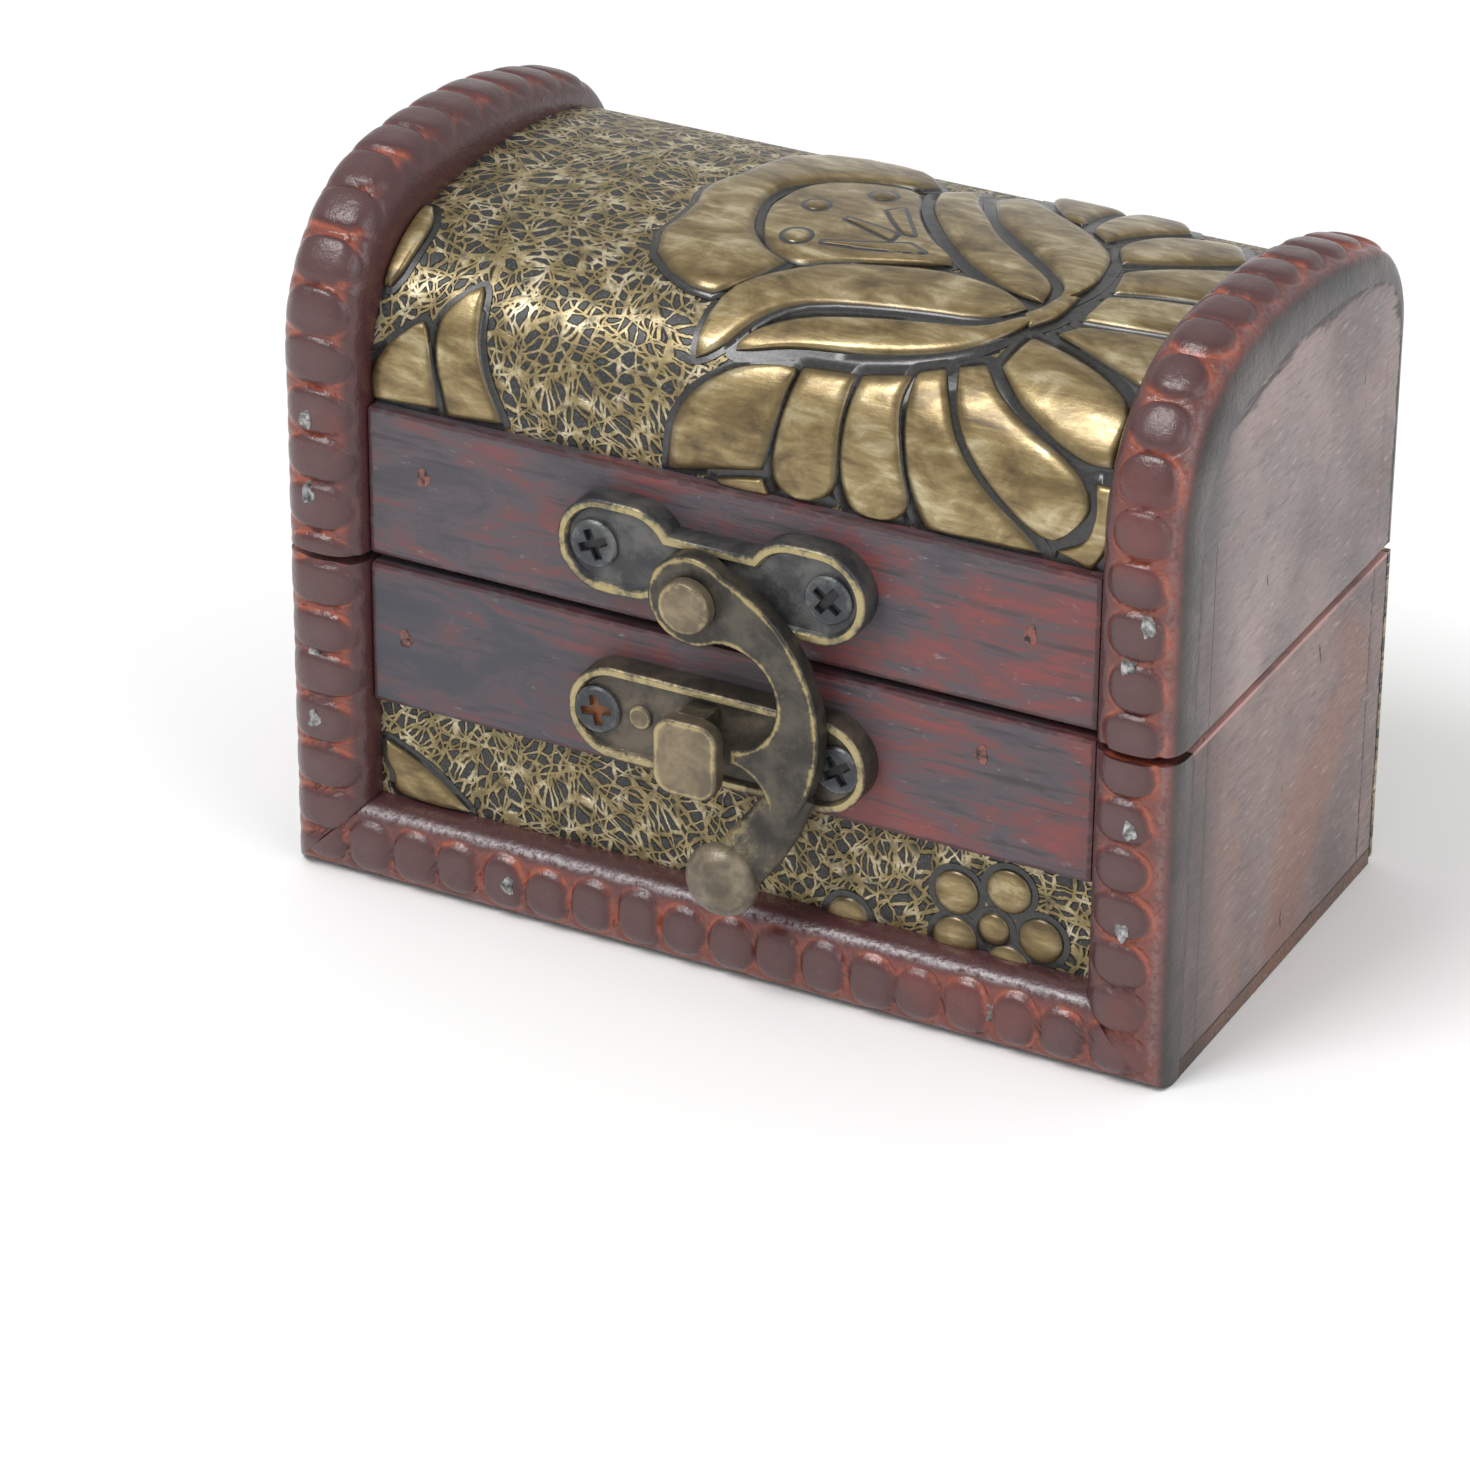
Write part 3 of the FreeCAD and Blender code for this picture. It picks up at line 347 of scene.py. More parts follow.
def rubbed_gold(name):
    """Gold paint rubbed over a pressed leaf: faint streaks, brown low parts, charcoal grooves."""
    finish, shader, place = new_finish(name)
    streaks = grain(stretched(place, (0.16, 1.0, 1.0), (0, 0, 6)), 1300, 5, 0.62, 0.4)
    clouds = grain(stretched(place, (0.6, 1.0, 1.0)), 330, 6, 0.62, 0.5)
    crust = grain(place, 2400, 3, 0.6)
    # The tones run from shaded brown through lit gold to a pale painted highlight, scattered by the streaks
    # and clouds: painted shade and highlight over the paint's own streaky tone.
    tone_and_painted_light = plus(times(streaks, 0.27), times(clouds, 0.73))
    colour = tones(
        tone_and_painted_light,
        (0.34, 80, 64, 37), (0.44, 118, 99, 61), (0.53, 147, 128, 86),
        (0.64, 192, 178, 142),
    )
    raised = marked(shader, "gilt")
    colour = washes(
        colour, (crust, 0.6, 0.76, 0.4, (92, 74, 42)), (raised, 0.95, 0.6, 0.7, (84, 70, 42)),
    )
    worn = between(raised, 0.2, 0.5)
    ground = tones(crust, (0.4, 18, 18, 18), (0.7, 44, 43, 41))
    colour = blend(worn, ground, colour)
    rough = between(tone_and_painted_light, 0.34, 0.66, 0.4, 0.26)
    height = plus(times(streaks, 0.5), times(crust, 0.3))
    coat(
        shader, colour, rough, height, 0.05 * MM,
        Specular_IOR_Level=0.55, Coat_Weight=0.45, Coat_Roughness=0.26, Metallic=times(worn, 0.6),
    )
    return finish


cloth_net = cracked_cloth("cloth_net")
cloth_gold = rubbed_gold("cloth_gold")


def cloth_panel(width, height, columns, rows, place):
    """A sheet of cloth as a grid over its flat chart in mm, laid by place(u, v, h) and thickened."""
    bm = bmesh.new()
    chart = bm.loops.layers.uv.new("cloth")
    bmesh.ops.create_grid(bm, x_segments=columns, y_segments=rows, size=0.5)
    for face in bm.faces:
        for loop in face.loops:
            flat = Vector((loop.vert.co.x * width, (loop.vert.co.y + 0.5) * height))
            loop[chart].uv = flat / CHART_SCALE
    for vert in bm.verts:
        vert.co = place(vert.co.x * width, (vert.co.y + 0.5) * height, 0.0)
    bmesh.ops.recalc_face_normals(bm, faces=bm.faces)
    bmesh.ops.solidify(bm, geom=bm.faces[:], thickness=CLOTH_TURN)
    return bm


def smooth_line(runs, share):
    """The point a share of the way along smooth runs through a few points, with corners between runs."""
    along = min(share, 0.999999) * len(runs)
    points = [Vector(p) for p in runs[int(along)]]
    place = (along - int(along)) * (len(points) - 1)
    k = int(place)
    t = place - k
    here, after = points[k], points[k + 1]
    before = points[k - 1] if k else here * 2 - after
    beyond = points[k + 2] if k + 2 < len(points) else after * 2 - here
    bend = before * 2 - here * 5 + after * 4 - beyond
    return here + ((after - before) + (bend + (here * 3 - before - after * 3 + beyond) * t) * t) * t / 2


def shoulder(share, width):
    """Rise of a pressed edge: 0 at either end of the share, rounding up to 1 within the width."""
    near = min(share, 1 - share, width) / width
    return math.sqrt(max(1 - (1 - near) ** 2, 0.0))


def corner(vert):
    """A corner's place in mm, rounded so that it compares alike in each run."""
    return [round(part, 4) for part in vert.co]


def lay(bm, place, before):
    """Cuts what is newer than before at the sheet's lower edge, closes the cut, and lays it by place.

    A closed face starts at its lowest corner and has one way round, so that each run splits it alike.
    """
    fresh = [vert for vert in bm.verts if vert not in before]
    edges = [edge for edge in bm.edges if edge.verts[0] not in before]
    faces = [face for face in bm.faces if face.verts[0] not in before]
    cut = bmesh.ops.bisect_plane(
        bm, geom=fresh + edges + faces, dist=CUT_SLACK, clear_inner=True, plane_co=(0, 0, 0),
        plane_no=(0, 1, 0),
    )["geom_cut"]
    bmesh.ops.holes_fill(bm, edges=[item for item in cut if isinstance(item, bmesh.types.BMEdge)], sides=0)
    for face in [face for face in bm.faces if len(face.verts) > 4 and face.verts[0] not in before]:
        ring = list(face.verts)
        first = ring.index(min(ring, key=corner))
        ring = ring[first:] + ring[:first]
        if corner(ring[-1]) < corner(ring[1]):
            ring = ring[:1] + ring[:0:-1]
        bm.faces.remove(face)
        bm.faces.new(ring)
    for vert in bm.verts:
        if vert not in before:
            vert.co = place(*vert.co)


def pressed_leaf(
    bm, left, right, place, dome=LEAF_DOME, crown=LEAF_CROWN, sides=SIDE_ROUND,
    groove=GROOVE_WIDTH, grow=LEAF_GROW, lift=GROOVE_LIFT,
):
    """One leaf between its two edges, root to tip: a flat pillow with a groove round it, laid by place."""
    gilt = bm.verts.layers.float["gilt"]
    before = set(bm.verts)
    left = left if isinstance(left[0], list) else [left]
    right = right if isinstance(right[0], list) else [right]
    sheet = bmesh.ops.create_grid(bm, x_segments=LEAF_COLUMNS, y_segments=LEAF_ROWS, size=0.5)["verts"]
    for vert in sheet:
        turn = (vert.co.x + 0.5) * math.pi
        run = (vert.co.y + 0.5) * math.pi
        across = (1 - math.cos(turn)) / 2
        along = (1 - math.cos(run)) / 2
        one, other = smooth_line(left, along), smooth_line(right, along)
        wider = 1 + 2 * grow / max((other - one).length, 1.0)
        flat = one.lerp(other, 0.5 + (across - 0.5) * wider)
        rise = shoulder(across, sides) * shoulder(along, END_ROUND)
        swell = 1 - crown + crown * math.sin(turn) * math.sin(run)
        vert[gilt] = rise
        vert.co = (flat.x, flat.y, lift + dome * rise * swell)
    bmesh.ops.remove_doubles(bm, verts=sheet, dist=LEAF_MERGE)
    sheet = [vert for vert in sheet if vert.is_valid]
    rim = list(dict.fromkeys(edge for vert in sheet for edge in vert.link_edges if edge.is_boundary))
    for out, drop in ((groove, 0.0), (SKIRT_FLARE, SKIRT_DROP)):
        away = {}
        for edge in rim:
            flank = edge.link_faces[0].calc_center_median() - edge.verts[0].co
            line = (edge.verts[1].co - edge.verts[0].co).normalized()
            side = Vector((line.y, -line.x, 0.0))
            side = -side if side.dot(flank) > 0 else side
            for vert in edge.verts:
                away[vert] = away.get(vert, Vector()) + side
        grown = bmesh.ops.extrude_edge_only(bm, edges=rim)["geom"]
        fresh = [item for item in grown if isinstance(item, bmesh.types.BMVert)]
        twins = {tuple(vert.co): side for vert, side in away.items()}
        for vert in fresh:
            side = twins[tuple(vert.co)].normalized()
            vert.co += side * out
            vert.co.z = lift - drop
            vert[gilt] = 0.0
        rim = [item for item in grown if isinstance(item, bmesh.types.BMEdge) and item.is_boundary]
        rim = [edge for edge in rim if all(vert in fresh for vert in edge.verts)]
    bmesh.ops.holes_fill(bm, edges=rim, sides=0)
    lay(bm, place, before)


def spun(bm, profile, mark, values, steps, merge):
    """A half profile of reach and height spun round Z, with a value for each of its points on a mark."""
    before = set(bm.verts)
    layer = bm.verts.layers.float[mark]
    chain = [bm.verts.new((reach, 0.0, height)) for reach, height in profile]
    for vert, value in zip(chain, values):
        vert[layer] = value
    edges = [bm.edges.new(pair) for pair in zip(chain, chain[1:])]
    bmesh.ops.spin(
        bm, geom=chain + edges, cent=(0, 0, 0), axis=(0, 0, 1), angle=math.tau, steps=steps, use_merge=True,
    )
    fresh = [vert for vert in bm.verts if vert not in before]
    bmesh.ops.remove_doubles(bm, verts=fresh, dist=merge)
    return [vert for vert in fresh if vert.is_valid]


def pressed_button(bm, u, v, radius, place, dome, groove=GROOVE_WIDTH, lift=GROOVE_LIFT):
    """A round pressed button: a dome with a groove round it, laid by place."""
    before = set(bm.verts)
    profile = [(math.sin(a) * radius, math.cos(a) ** BUTTON_POWER * dome) for a in BUTTON_TURNS]
    profile += [(radius, lift), (radius + groove, lift), (radius + groove, -SKIRT_DROP), (0.0, -SKIRT_DROP)]
    gilt = [max(height, 0.0) / dome if reach < radius else 0.0 for reach, height in profile]
    fresh = spun(bm, profile, "gilt", gilt, BUTTON_STEPS, CUT_SLACK)
    bmesh.ops.translate(bm, vec=(u, v, 0.0), verts=fresh)
    lay(bm, place, before)


def gilt_sheet():
    """An empty mesh that leaves are pressed into."""
    bm = bmesh.new()
    bm.verts.layers.float.new("gilt")
    return bm


front_low, front_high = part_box("base_front_leather")
back_low, back_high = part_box("base_back_leather")


def on_front(u, v, h):
    """The point u across and v up the front panel, h above its face, all in mm."""
    return Vector((u * MM, front_low.y + CLOTH_SINK - h * MM, front_low.z + v * MM))


def on_back(u, v, h):
    """The same on the back panel."""
    return Vector((-u * MM, back_high.y - CLOTH_SINK + h * MM, back_low.z + v * MM))


front_size, back_size = front_high - front_low, back_high - back_low
for side, place, size in (("front", on_front, front_size), ("back", on_back, back_size)):
    panel = cloth_panel(size.x / MM, size.z / MM, PANEL_COLUMNS, PANEL_ROWS, place)
    set_piece(panel, side + "_cloth", "base", "embossed_cloth", cloth_net, "base_" + side + "_leather")

BLOSSOM = (
    (20.5, 4.7, 2.0), (25.1, 6.0, 2.0), (28.0, 2.3, 2.0), (20.5, 0.5, 2.0), (25.2, -0.9, 2.0),
    (23.9, 2.3, 1.4),
)
SINGLE_BUTTON = (10.9, -0.2, 1.9)
BACK_SHIFTS = (-24.0, 24.0)
BACK_RISE = 6.0
front_gold = gilt_sheet()
for number, (u, v, radius) in enumerate(BLOSSOM + (SINGLE_BUTTON,)):
    pressed_button(front_gold, u, v, radius, on_front, BUTTON_DOME, lift=GROOVE_LIFT + number * GROOVE_STEP)
pressed_leaf(
    front_gold, [(-32.1, 5.0), (-30.0, 4.1), (-27.4, 2.7), (-24.2, 0.2)],
    [(-32.0, 3.9), (-31.2, 2.4), (-30.6, 0.6), (-26.0, 0.2)], on_front,
)
set_piece(front_gold, "front_cloth_gilding", "base", "embossed_cloth", cloth_gold, crease=GILT_CREASE)
back_gold = gilt_sheet()
for shift in BACK_SHIFTS:
    for number, (u, v, radius) in enumerate(BLOSSOM):
        place_u = u - BLOSSOM[-1][0] + shift
        lift = GROOVE_LIFT + number * GROOVE_STEP
        pressed_button(back_gold, place_u, v + BACK_RISE, radius, on_back, BUTTON_DOME, lift=lift)
for side in (-1, 1):
    pressed_leaf(
        back_gold, [(side * 4.0, 7.0), (side * 9.0, 11.5), (side * 16.5, 9.5)],
        [(side * 4.0, 7.0), (side * 10.0, 5.0), (side * 16.5, 9.5)], on_back,
    )
set_piece(back_gold, "back_cloth_gilding", "base", "embossed_cloth", cloth_gold, crease=GILT_CREASE)


# Plain strip of the base. A thin hardwood strip along the parting line, stained grey over red so that the
# red shows through in patches, bradded through the front board and worn dark along its edges.
STRIP_EASE = 0.35 * MM
STRIP_WEAR = 0.7 * MM


def strip_stain(name, sooty):
    """Grey-purple stain over red: red patches, more to the right, dark streaks and pale scratches."""
    finish, shader, place = new_finish(name)
    streaks = grain(stretched(place, (0.08, 1.0, 1.0), (0, 2, 0)), 1400, 6, 0.6, 0.4)
    clouds = grain(stretched(place, (0.4, 1.0, 1.0)), 170, 6, 0.68, 0.8)
    dust = grain(stretched(place, (0.4, 1.0, 1.0)), 1500, 4, 0.65, 0.3)
    across = wire(shader, "SeparateXYZ", {0: place}).outputs[0]
    redder = between(across, -30 * MM, 34 * MM, -0.06, 0.07)
    red = plus(plus(clouds, redder), between(streaks, 0.3, 0.7, -0.06, 0.06))
    colour = tones(
        red, (0.36, 70, 66, 71), (0.48, 84, 74, 79),
        (0.56, 102, 66, 68), (0.66, 122, 64, 62),
    )
    colour = washes(
        colour, (streaks, 0.46, 0.3, 0.6, (56, 46, 49)), (dust, 0.62, 0.76, 0.4, (158, 146, 146)),
    )
    soot = between(across, -34 * MM, 14 * MM, sooty, 0.0)
    soot = times(soot, between(clouds, 0.62, 0.4, 0.4, 1.0))
    colour = blend(soot, colour, paint(60, 62, 70))
    rub = plus(marked(shader, "edge"), between(dust, 0.3, 0.7, -0.4, 0.4))
    colour = washes(colour, (rub, 0.5, 1.0, 0.8, (66, 36, 39)))
    height = plus(streaks, times(dust, 0.4))
    coat(shader, colour, between(clouds, 0.3, 0.7, 0.48, 0.36), height, 0.08 * MM)
    return finish


tray_strip_stain = strip_stain("tray_strip_stain", sooty=0.85)
strip = eased_board(*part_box("base_front_strip"), STRIP_EASE, STRIP_WEAR)
set_piece(strip, "tray_strip", "base", "stained_strip", tray_strip_stain, "base_front_strip")


# Carved mouldings of the base. Square hardwood beading is rounded over, carved with a row of beads, stained
# red and then brown, and bradded round the front: two posts and a foot that meet in mitres.
SECTION_POWER = 3.0
FACE_STEPS = 44
KNIFE_STEP = 0.28
BEAD_POWER = 2.4
BEAD_DOME = 0.36
BEAD_CUT = 0.3
CUT_PLACE = 1.04
CUT_WIDTH = 0.1
BEAD_LENGTH = 0.47
DOME_FALL = 3
DOME_ROUND = 0.6
WOBBLE_RATE = 2.4
SWAY_RATE = 1.7
BEAD_WANDER = 0.1
BEAD_LONGER = 0.03
BEAD_ASIDE = 0.14
BEAD_WIDER = 0.05
CORNER_SCUFF = (0.86, 0.05)
CREST_SCUFF = (0.11, 0.035)
POST_WEAR = 0.25
FOOT_WEAR = 0.8
TRIM_MERGE = 0.01 * MM
CARVED_CREASE = 70
POST_PITCH = 4.22
FOOT_PITCH = 4.24
FOOT_SHIFT = 0.5
FOOT_MIDDLE = 0.53
FOOT_BEAD = 2.5
FOOT_SEED = 0.7


def carved_stain(name):
    """Orange-red stain left in the cuts, brown rubbed over the beads, grey wear and a dull polish."""
    finish, shader, place = new_finish(name)
    spread = marked(shader, "spread")
    across = marked(shader, "across")
    scuff = marked(shader, "scuff")
    clouds = grain(place, 190, 5, 0.6, 0.4)
    drift = grain(place, 60, 3, 0.5, 0.3)
    fibres = grain(place, 1300, 5, 0.6, 0.5)
    dust = grain(place, 2100, 4, 0.65)
    shifted = times(plus(spread, between(clouds, 0.3, 0.7, -0.1, 0.1)), 0.5)
    colour = tones(
        shifted, (0.0, 89, 63, 64), (0.28, 83, 54, 54), (0.42, 73, 42, 42),
        (0.475, 102, 51, 44), (0.52, 158, 82, 60), (0.575, 126, 66, 54),
        (0.75, 104, 58, 52), (1.0, 92, 56, 53),
    )
    outer = tones(clouds, (0.35, 38, 32, 32), (0.65, 66, 54, 53))
    scratched = times(scuff, between(dust, 0.38, 0.58))
    colour = washes(
        colour, (clouds, 0.56, 0.4, 0.75, (82, 50, 50)), (drift, 0.54, 0.68, 0.45, (122, 58, 48)),
        (fibres, 0.52, 0.7, 0.4, (70, 48, 48)), (across, 0.24, 0.12, 0.9, (72, 44, 46)),
        (across, 0.9, 0.965, 1.0, outer),
    )
    colour = blend(scratched, colour, paint(150, 140, 143))
    colour = washes(colour, (dust, 0.68, 0.8, 0.35, (160, 142, 138)))
    height = plus(fibres, times(dust, 0.5))
    rough = between(clouds, 0.3, 0.7, 0.35, 0.2)
    coat(shader, colour, rough, height, 0.07 * MM, Specular_IOR_Level=0.6)
    return finish


carved_beads = carved_stain("carved_beads")


def section(turn):
    """Across (0 inner edge, 1 outer edge) and lift of a moulding's face, half way round for turn 0 to 1."""
    angle = turn * math.pi
    cosine = math.cos(angle)
    across = (1 - math.copysign(abs(cosine) ** (2 / SECTION_POWER), cosine)) / 2
    return across, max(math.sin(angle), 0.0) ** (2 / SECTION_POWER)


def hump(value, middle, width):
    """A smooth hump, 1 at its middle and fading within its width."""
    return math.exp(-(((value - middle) / width) ** 2))


def bead(along, pitch, off, half_width, seed):
    """Distance from the nearest bead's middle, 1 at its edge, and the lift the knife leaves there, in mm."""
    number = math.floor(along / pitch)
    wobble = math.sin(number * WOBBLE_RATE + seed)
    sway = math.sin(number * SWAY_RATE + seed * 3)
    run = along - (number + 0.5) * pitch - BEAD_WANDER * wobble
    far = abs(run / (pitch * BEAD_LENGTH * (1 + BEAD_LONGER * sway))) ** BEAD_POWER
    wide = abs((off - BEAD_ASIDE * sway) / (half_width * (1 + BEAD_WIDER * wobble))) ** BEAD_POWER
    spread = (far + wide) ** (1 / BEAD_POWER)
    dome = BEAD_DOME * max(1 - spread ** DOME_FALL, 0.0) ** DOME_ROUND
    cut = BEAD_CUT * hump(spread, CUT_PLACE, CUT_WIDTH)
    return min(spread, 2.0), dome - cut - BEAD_DOME


def close_up(bm):
    """Fills the holes that a mesh still has."""
    bmesh.ops.holes_fill(bm, edges=[edge for edge in bm.edges if edge.is_boundary], sides=0)


def moulding(name, node, body, steps, place):
    """Beading as a grid, place(along, turn) for each point round its face, closed at back and ends."""
    bm = bmesh.new()
    layers = [bm.verts.layers.float.new(mark) for mark in ("spread", "across", "scuff")]
    bmesh.ops.create_grid(bm, x_segments=steps, y_segments=FACE_STEPS + 1, size=0.5)
    for vert in bm.verts:
        turn = round((vert.co.y + 0.5) * (FACE_STEPS + 1)) % (FACE_STEPS + 1) / FACE_STEPS
        vert.co, *marks = place(vert.co.x + 0.5, turn)
        for layer, mark in zip(layers, marks):
            vert[layer] = mark
    bmesh.ops.remove_doubles(bm, verts=bm.verts, dist=TRIM_MERGE)
    close_up(bm)
    return set_piece(bm, name, body, "carved_trim", carved_beads, node, crease=CARVED_CREASE)


post_low, post_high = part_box("base_right_post_trim")
TRIM_WIDTH = (post_high.x - post_low.x) / MM
TRIM_DEPTH = (post_high.y - post_low.y) / MM
HALF_WIDTH = post_high.x / MM
POST_TOP = post_high.z / MM
WOOD_FACE = post_high.y / MM


def post(side, shift, middle, half_width):
    """A post, mitred at its foot: beads lie across it, round as coins or, if wide, like shingles."""
    def place(along, turn):
        across, lift = section(turn)
        mitre = (1 - across) * TRIM_WIDTH
        height = mitre + along * (POST_TOP - mitre)
        off = (across - middle) * TRIM_WIDTH
        spread, relief = bead(height + shift, POST_PITCH, off, half_width, side)
        out = lift * TRIM_DEPTH + relief * lift ** 3
        scuff = hump(across, *CORNER_SCUFF) * POST_WEAR
        return Vector((side * (HALF_WIDTH - mitre), WOOD_FACE - out, height)) * MM, spread, across, scuff
    return place


def foot(along, turn):
    """The foot: upright beads under a plain roll that is scuffed along its crest."""
    across, lift = section(turn)
    half = HALF_WIDTH - (1 - across) * TRIM_WIDTH
    x = (along * 2 - 1) * half
    off = (across - FOOT_MIDDLE) * TRIM_WIDTH
    spread, relief = bead(x + FOOT_SHIFT, FOOT_PITCH, off, FOOT_BEAD, FOOT_SEED)
    out = lift * TRIM_DEPTH + relief * lift ** 2
    scuff = hump(across, *CREST_SCUFF) * FOOT_WEAR
    return Vector((x, WOOD_FACE - out, (1 - across) * TRIM_WIDTH)) * MM, spread, across, scuff


post_steps = round(POST_TOP / KNIFE_STEP)
left_post = post(-1, shift=0.3, middle=0.54, half_width=3.5)
right_post = post(1, shift=-0.72, middle=0.44, half_width=2.5)
posts = [
    moulding("tray_left_post", "base_left_post_trim", "base", post_steps, left_post),
    moulding("tray_right_post", "base_right_post_trim", "base", post_steps, right_post),
    moulding("tray_foot", "base_bottom_trim", "base", round(2 * HALF_WIDTH / KNIFE_STEP), foot),
]


# Wire nails of the base. Steel nails hold the strip and the mouldings. They were driven by eye and filed
# off: ragged grey ends on the mouldings, and on the strip dents filled with brown stain.
NAIL_REACH = 0.85
NAIL_PROUD = 0.05
NAIL_DEEP = 0.8
NAIL_TAPER = 0.8
NAIL_NARROW = 0.85
NAIL_TALL = 1.2
NAIL_SIDES = 14
RAGGED_WAVES = ((0.16, 3, 2.1), (0.1, 5, 1.0))
RAY_START = 10 * MM
FACE_FRONT = Matrix.Rotation(math.radians(90), 4, "X")


def filed_steel(name):
    """Filed grey steel with pale scratches and dark spots."""
    finish, shader, place = new_finish(name)
    scratches = grain(stretched(place, (1.0, 1.0, 0.25), (0, 30, 0)), 3800, 4, 0.6)
    spots = grain(place, 1500, 4, 0.6)
    colour = tones(spots, (0.36, 66, 65, 65), (0.5, 128, 128, 127), (0.66, 186, 186, 184))
    coat(shader, colour, between(spots, 0.3, 0.7, 0.55, 0.35), scratches, 0.08 * MM, Metallic=0.4)
    return finish


def filled_dent(name):
    """Brown filler, dark in spots."""
    finish, shader, place = new_finish(name)
    spots = grain(place, 1300, 4, 0.6)
    colour = tones(spots, (0.4, 42, 32, 32), (0.5, 112, 70, 62), (0.66, 140, 84, 72))
    coat(shader, colour, between(spots, 0.3, 0.7, 0.6, 0.45), spots, 0.1 * MM)
    return finish


nail_finish = filed_steel("nail_finish")
dent_finish = filled_dent("dent_finish")


def nails(name, node, body, finish, carriers):
    """Ragged nail ends over the CAD nails' middles, each laid on the face of the piece that it holds."""
    graph = bpy.context.evaluated_depsgraph_get()
    faces = [BVHTree.FromObject(piece, graph) for piece in carriers]
    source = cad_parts[node]
    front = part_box(node)[0].y
    ends = [source.matrix_world @ vert.co for vert in source.data.vertices]
    ends = [end for end in ends if end.y < front + NAIL_PROUD * MM]
    bm = bmesh.new()
    number = 0
    while ends:
        near = [end for end in ends if (end - ends[0]).length < 2 * NAIL_REACH * MM]
        ends = [end for end in ends if end not in near]
        middle = sum(near, Vector()) / len(near)
        start = Vector((middle.x, front - RAY_START, middle.z))
        hits = [tree.ray_cast(start, Vector((0, 1, 0)))[0] for tree in faces]
        skin = min(hit.y for hit in hits if hit)
        number += 1
        ring = bmesh.ops.create_cone(
            bm, cap_ends=True, cap_tris=False, segments=NAIL_SIDES, radius1=NAIL_REACH * MM,
            radius2=NAIL_REACH * NAIL_TAPER * MM, depth=NAIL_DEEP * MM,
        )["verts"]
        for vert in ring:
            angle = math.atan2(vert.co.y, vert.co.x)
            waves = [size * math.sin(angle * lobes + number * lag) for size, lobes, lag in RAGGED_WAVES]
            ragged = 1 + sum(waves)
            vert.co.x *= ragged * NAIL_NARROW
            vert.co.y *= ragged * NAIL_TALL
        drive = Matrix.Translation((middle.x, skin + (NAIL_DEEP / 2 - NAIL_PROUD) * MM, middle.z))
        bmesh.ops.transform(bm, matrix=drive @ FACE_FRONT, verts=ring)
    return set_piece(bm, name, body, "nail_steel", finish, node)


nails("tray_trim_nails", "base_trim_brads", "base", nail_finish, posts)
nails("tray_strip_nails", "base_strip_brads", "base", dent_finish, [bpy.data.objects["tray_strip"]])


# Lid boards. Front, back and two arched sides carry a thin board bent over them from front to back.
# Made and stained as the base is; the bent board's outer face is painted dark, as grime and painted shade,
# along the arches.
# The arched sides keep their CAD shape and take the stain.
LID_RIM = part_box("lid_front_board")[0].z / MM
WOOD_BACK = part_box("lid_back_board")[1].y / MM
FRONT_BEND = (-8.0, 46.35, 10.0)
CROWN_BEND = (2.0, -0.6, 58.0)
BACK_BEND = (14.2, 48.92, 7.0)
BOARD_THICK = 2.8
BEND_STEPS = 60
BEND_COLUMNS = 8


def heading(start, end):
    """Direction from one bend's middle to the next's, in radians from the back."""
    return math.atan2(end[1] - start[1], end[0] - start[0])


FRONT_JOIN = heading(CROWN_BEND, FRONT_BEND)
BACK_JOIN = heading(CROWN_BEND, BACK_BEND)
BENDS = ((FRONT_BEND, math.pi, FRONT_JOIN), (CROWN_BEND, FRONT_JOIN, BACK_JOIN), (BACK_BEND, BACK_JOIN, 0.0))


def bent_length(skin):
    """Length of the three bends together, measured on a skin over the wood, in mm."""
    return sum((bend[2] + skin) * (first - last) for bend, first, last in BENDS)


def round_bends(u, left, skin, out):
    """The point u across and a length along the bends, taken on a skin over the wood, out from the wood."""
    for bend, first, last in BENDS:
        length = (bend[2] + skin) * (first - last)
        if left <= length or last == 0.0:
            break
        left -= length
    angle = first - left / (bend[2] + skin)
    radius = bend[2] + out
    return Vector((u, bend[0] + radius * math.cos(angle), bend[1] + radius * math.sin(angle))) * MM


lid_stain = board_stain(
    "lid_stain", ALONG_SIDE, (138, 126, 125), (158, 140, 137), (152, 118, 108), (92, 85, 86),
)
for name in ("lid_front_board", "lid_back_board"):
    outer_board(name + "_stained", name, "lid", lid_stain)


def stain_node(name, finish):
    """Gives a CAD node that stays as it is its finish."""
    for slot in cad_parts[name].material_slots:
        slot.material = finish


stain_node("lid_left_side_panel", lid_stain)
stain_node("lid_right_side_panel", lid_stain)

bent_board = bmesh.new()
bent_edge = bent_board.verts.layers.float.new("edge")
TOP_WIDTH = 2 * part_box("lid_curved_top")[1].x / MM
bmesh.ops.create_grid(bent_board, x_segments=BEND_COLUMNS, y_segments=BEND_STEPS, size=0.5)
for vert in bent_board.verts:
    vert.co = round_bends(vert.co.x * TOP_WIDTH, (vert.co.y + 0.5) * bent_length(0.0), 0.0, 0.0)
    vert[bent_edge] = 1.0
bmesh.ops.recalc_face_normals(bent_board, faces=bent_board.faces)
bmesh.ops.solidify(bent_board, geom=bent_board.faces[:], thickness=BOARD_THICK * MM)
# One face keeps the edge mark, painted dark with grime and painted shade where the board shows beside the
# arches.
bent_board.verts.ensure_lookup_table()
for vert in bent_board.verts[len(bent_board.verts) // 2:]:
    vert[bent_edge] = 0.0
set_piece(bent_board, "lid_bent_board", "lid", "stained_board", lid_stain, "lid_curved_top")


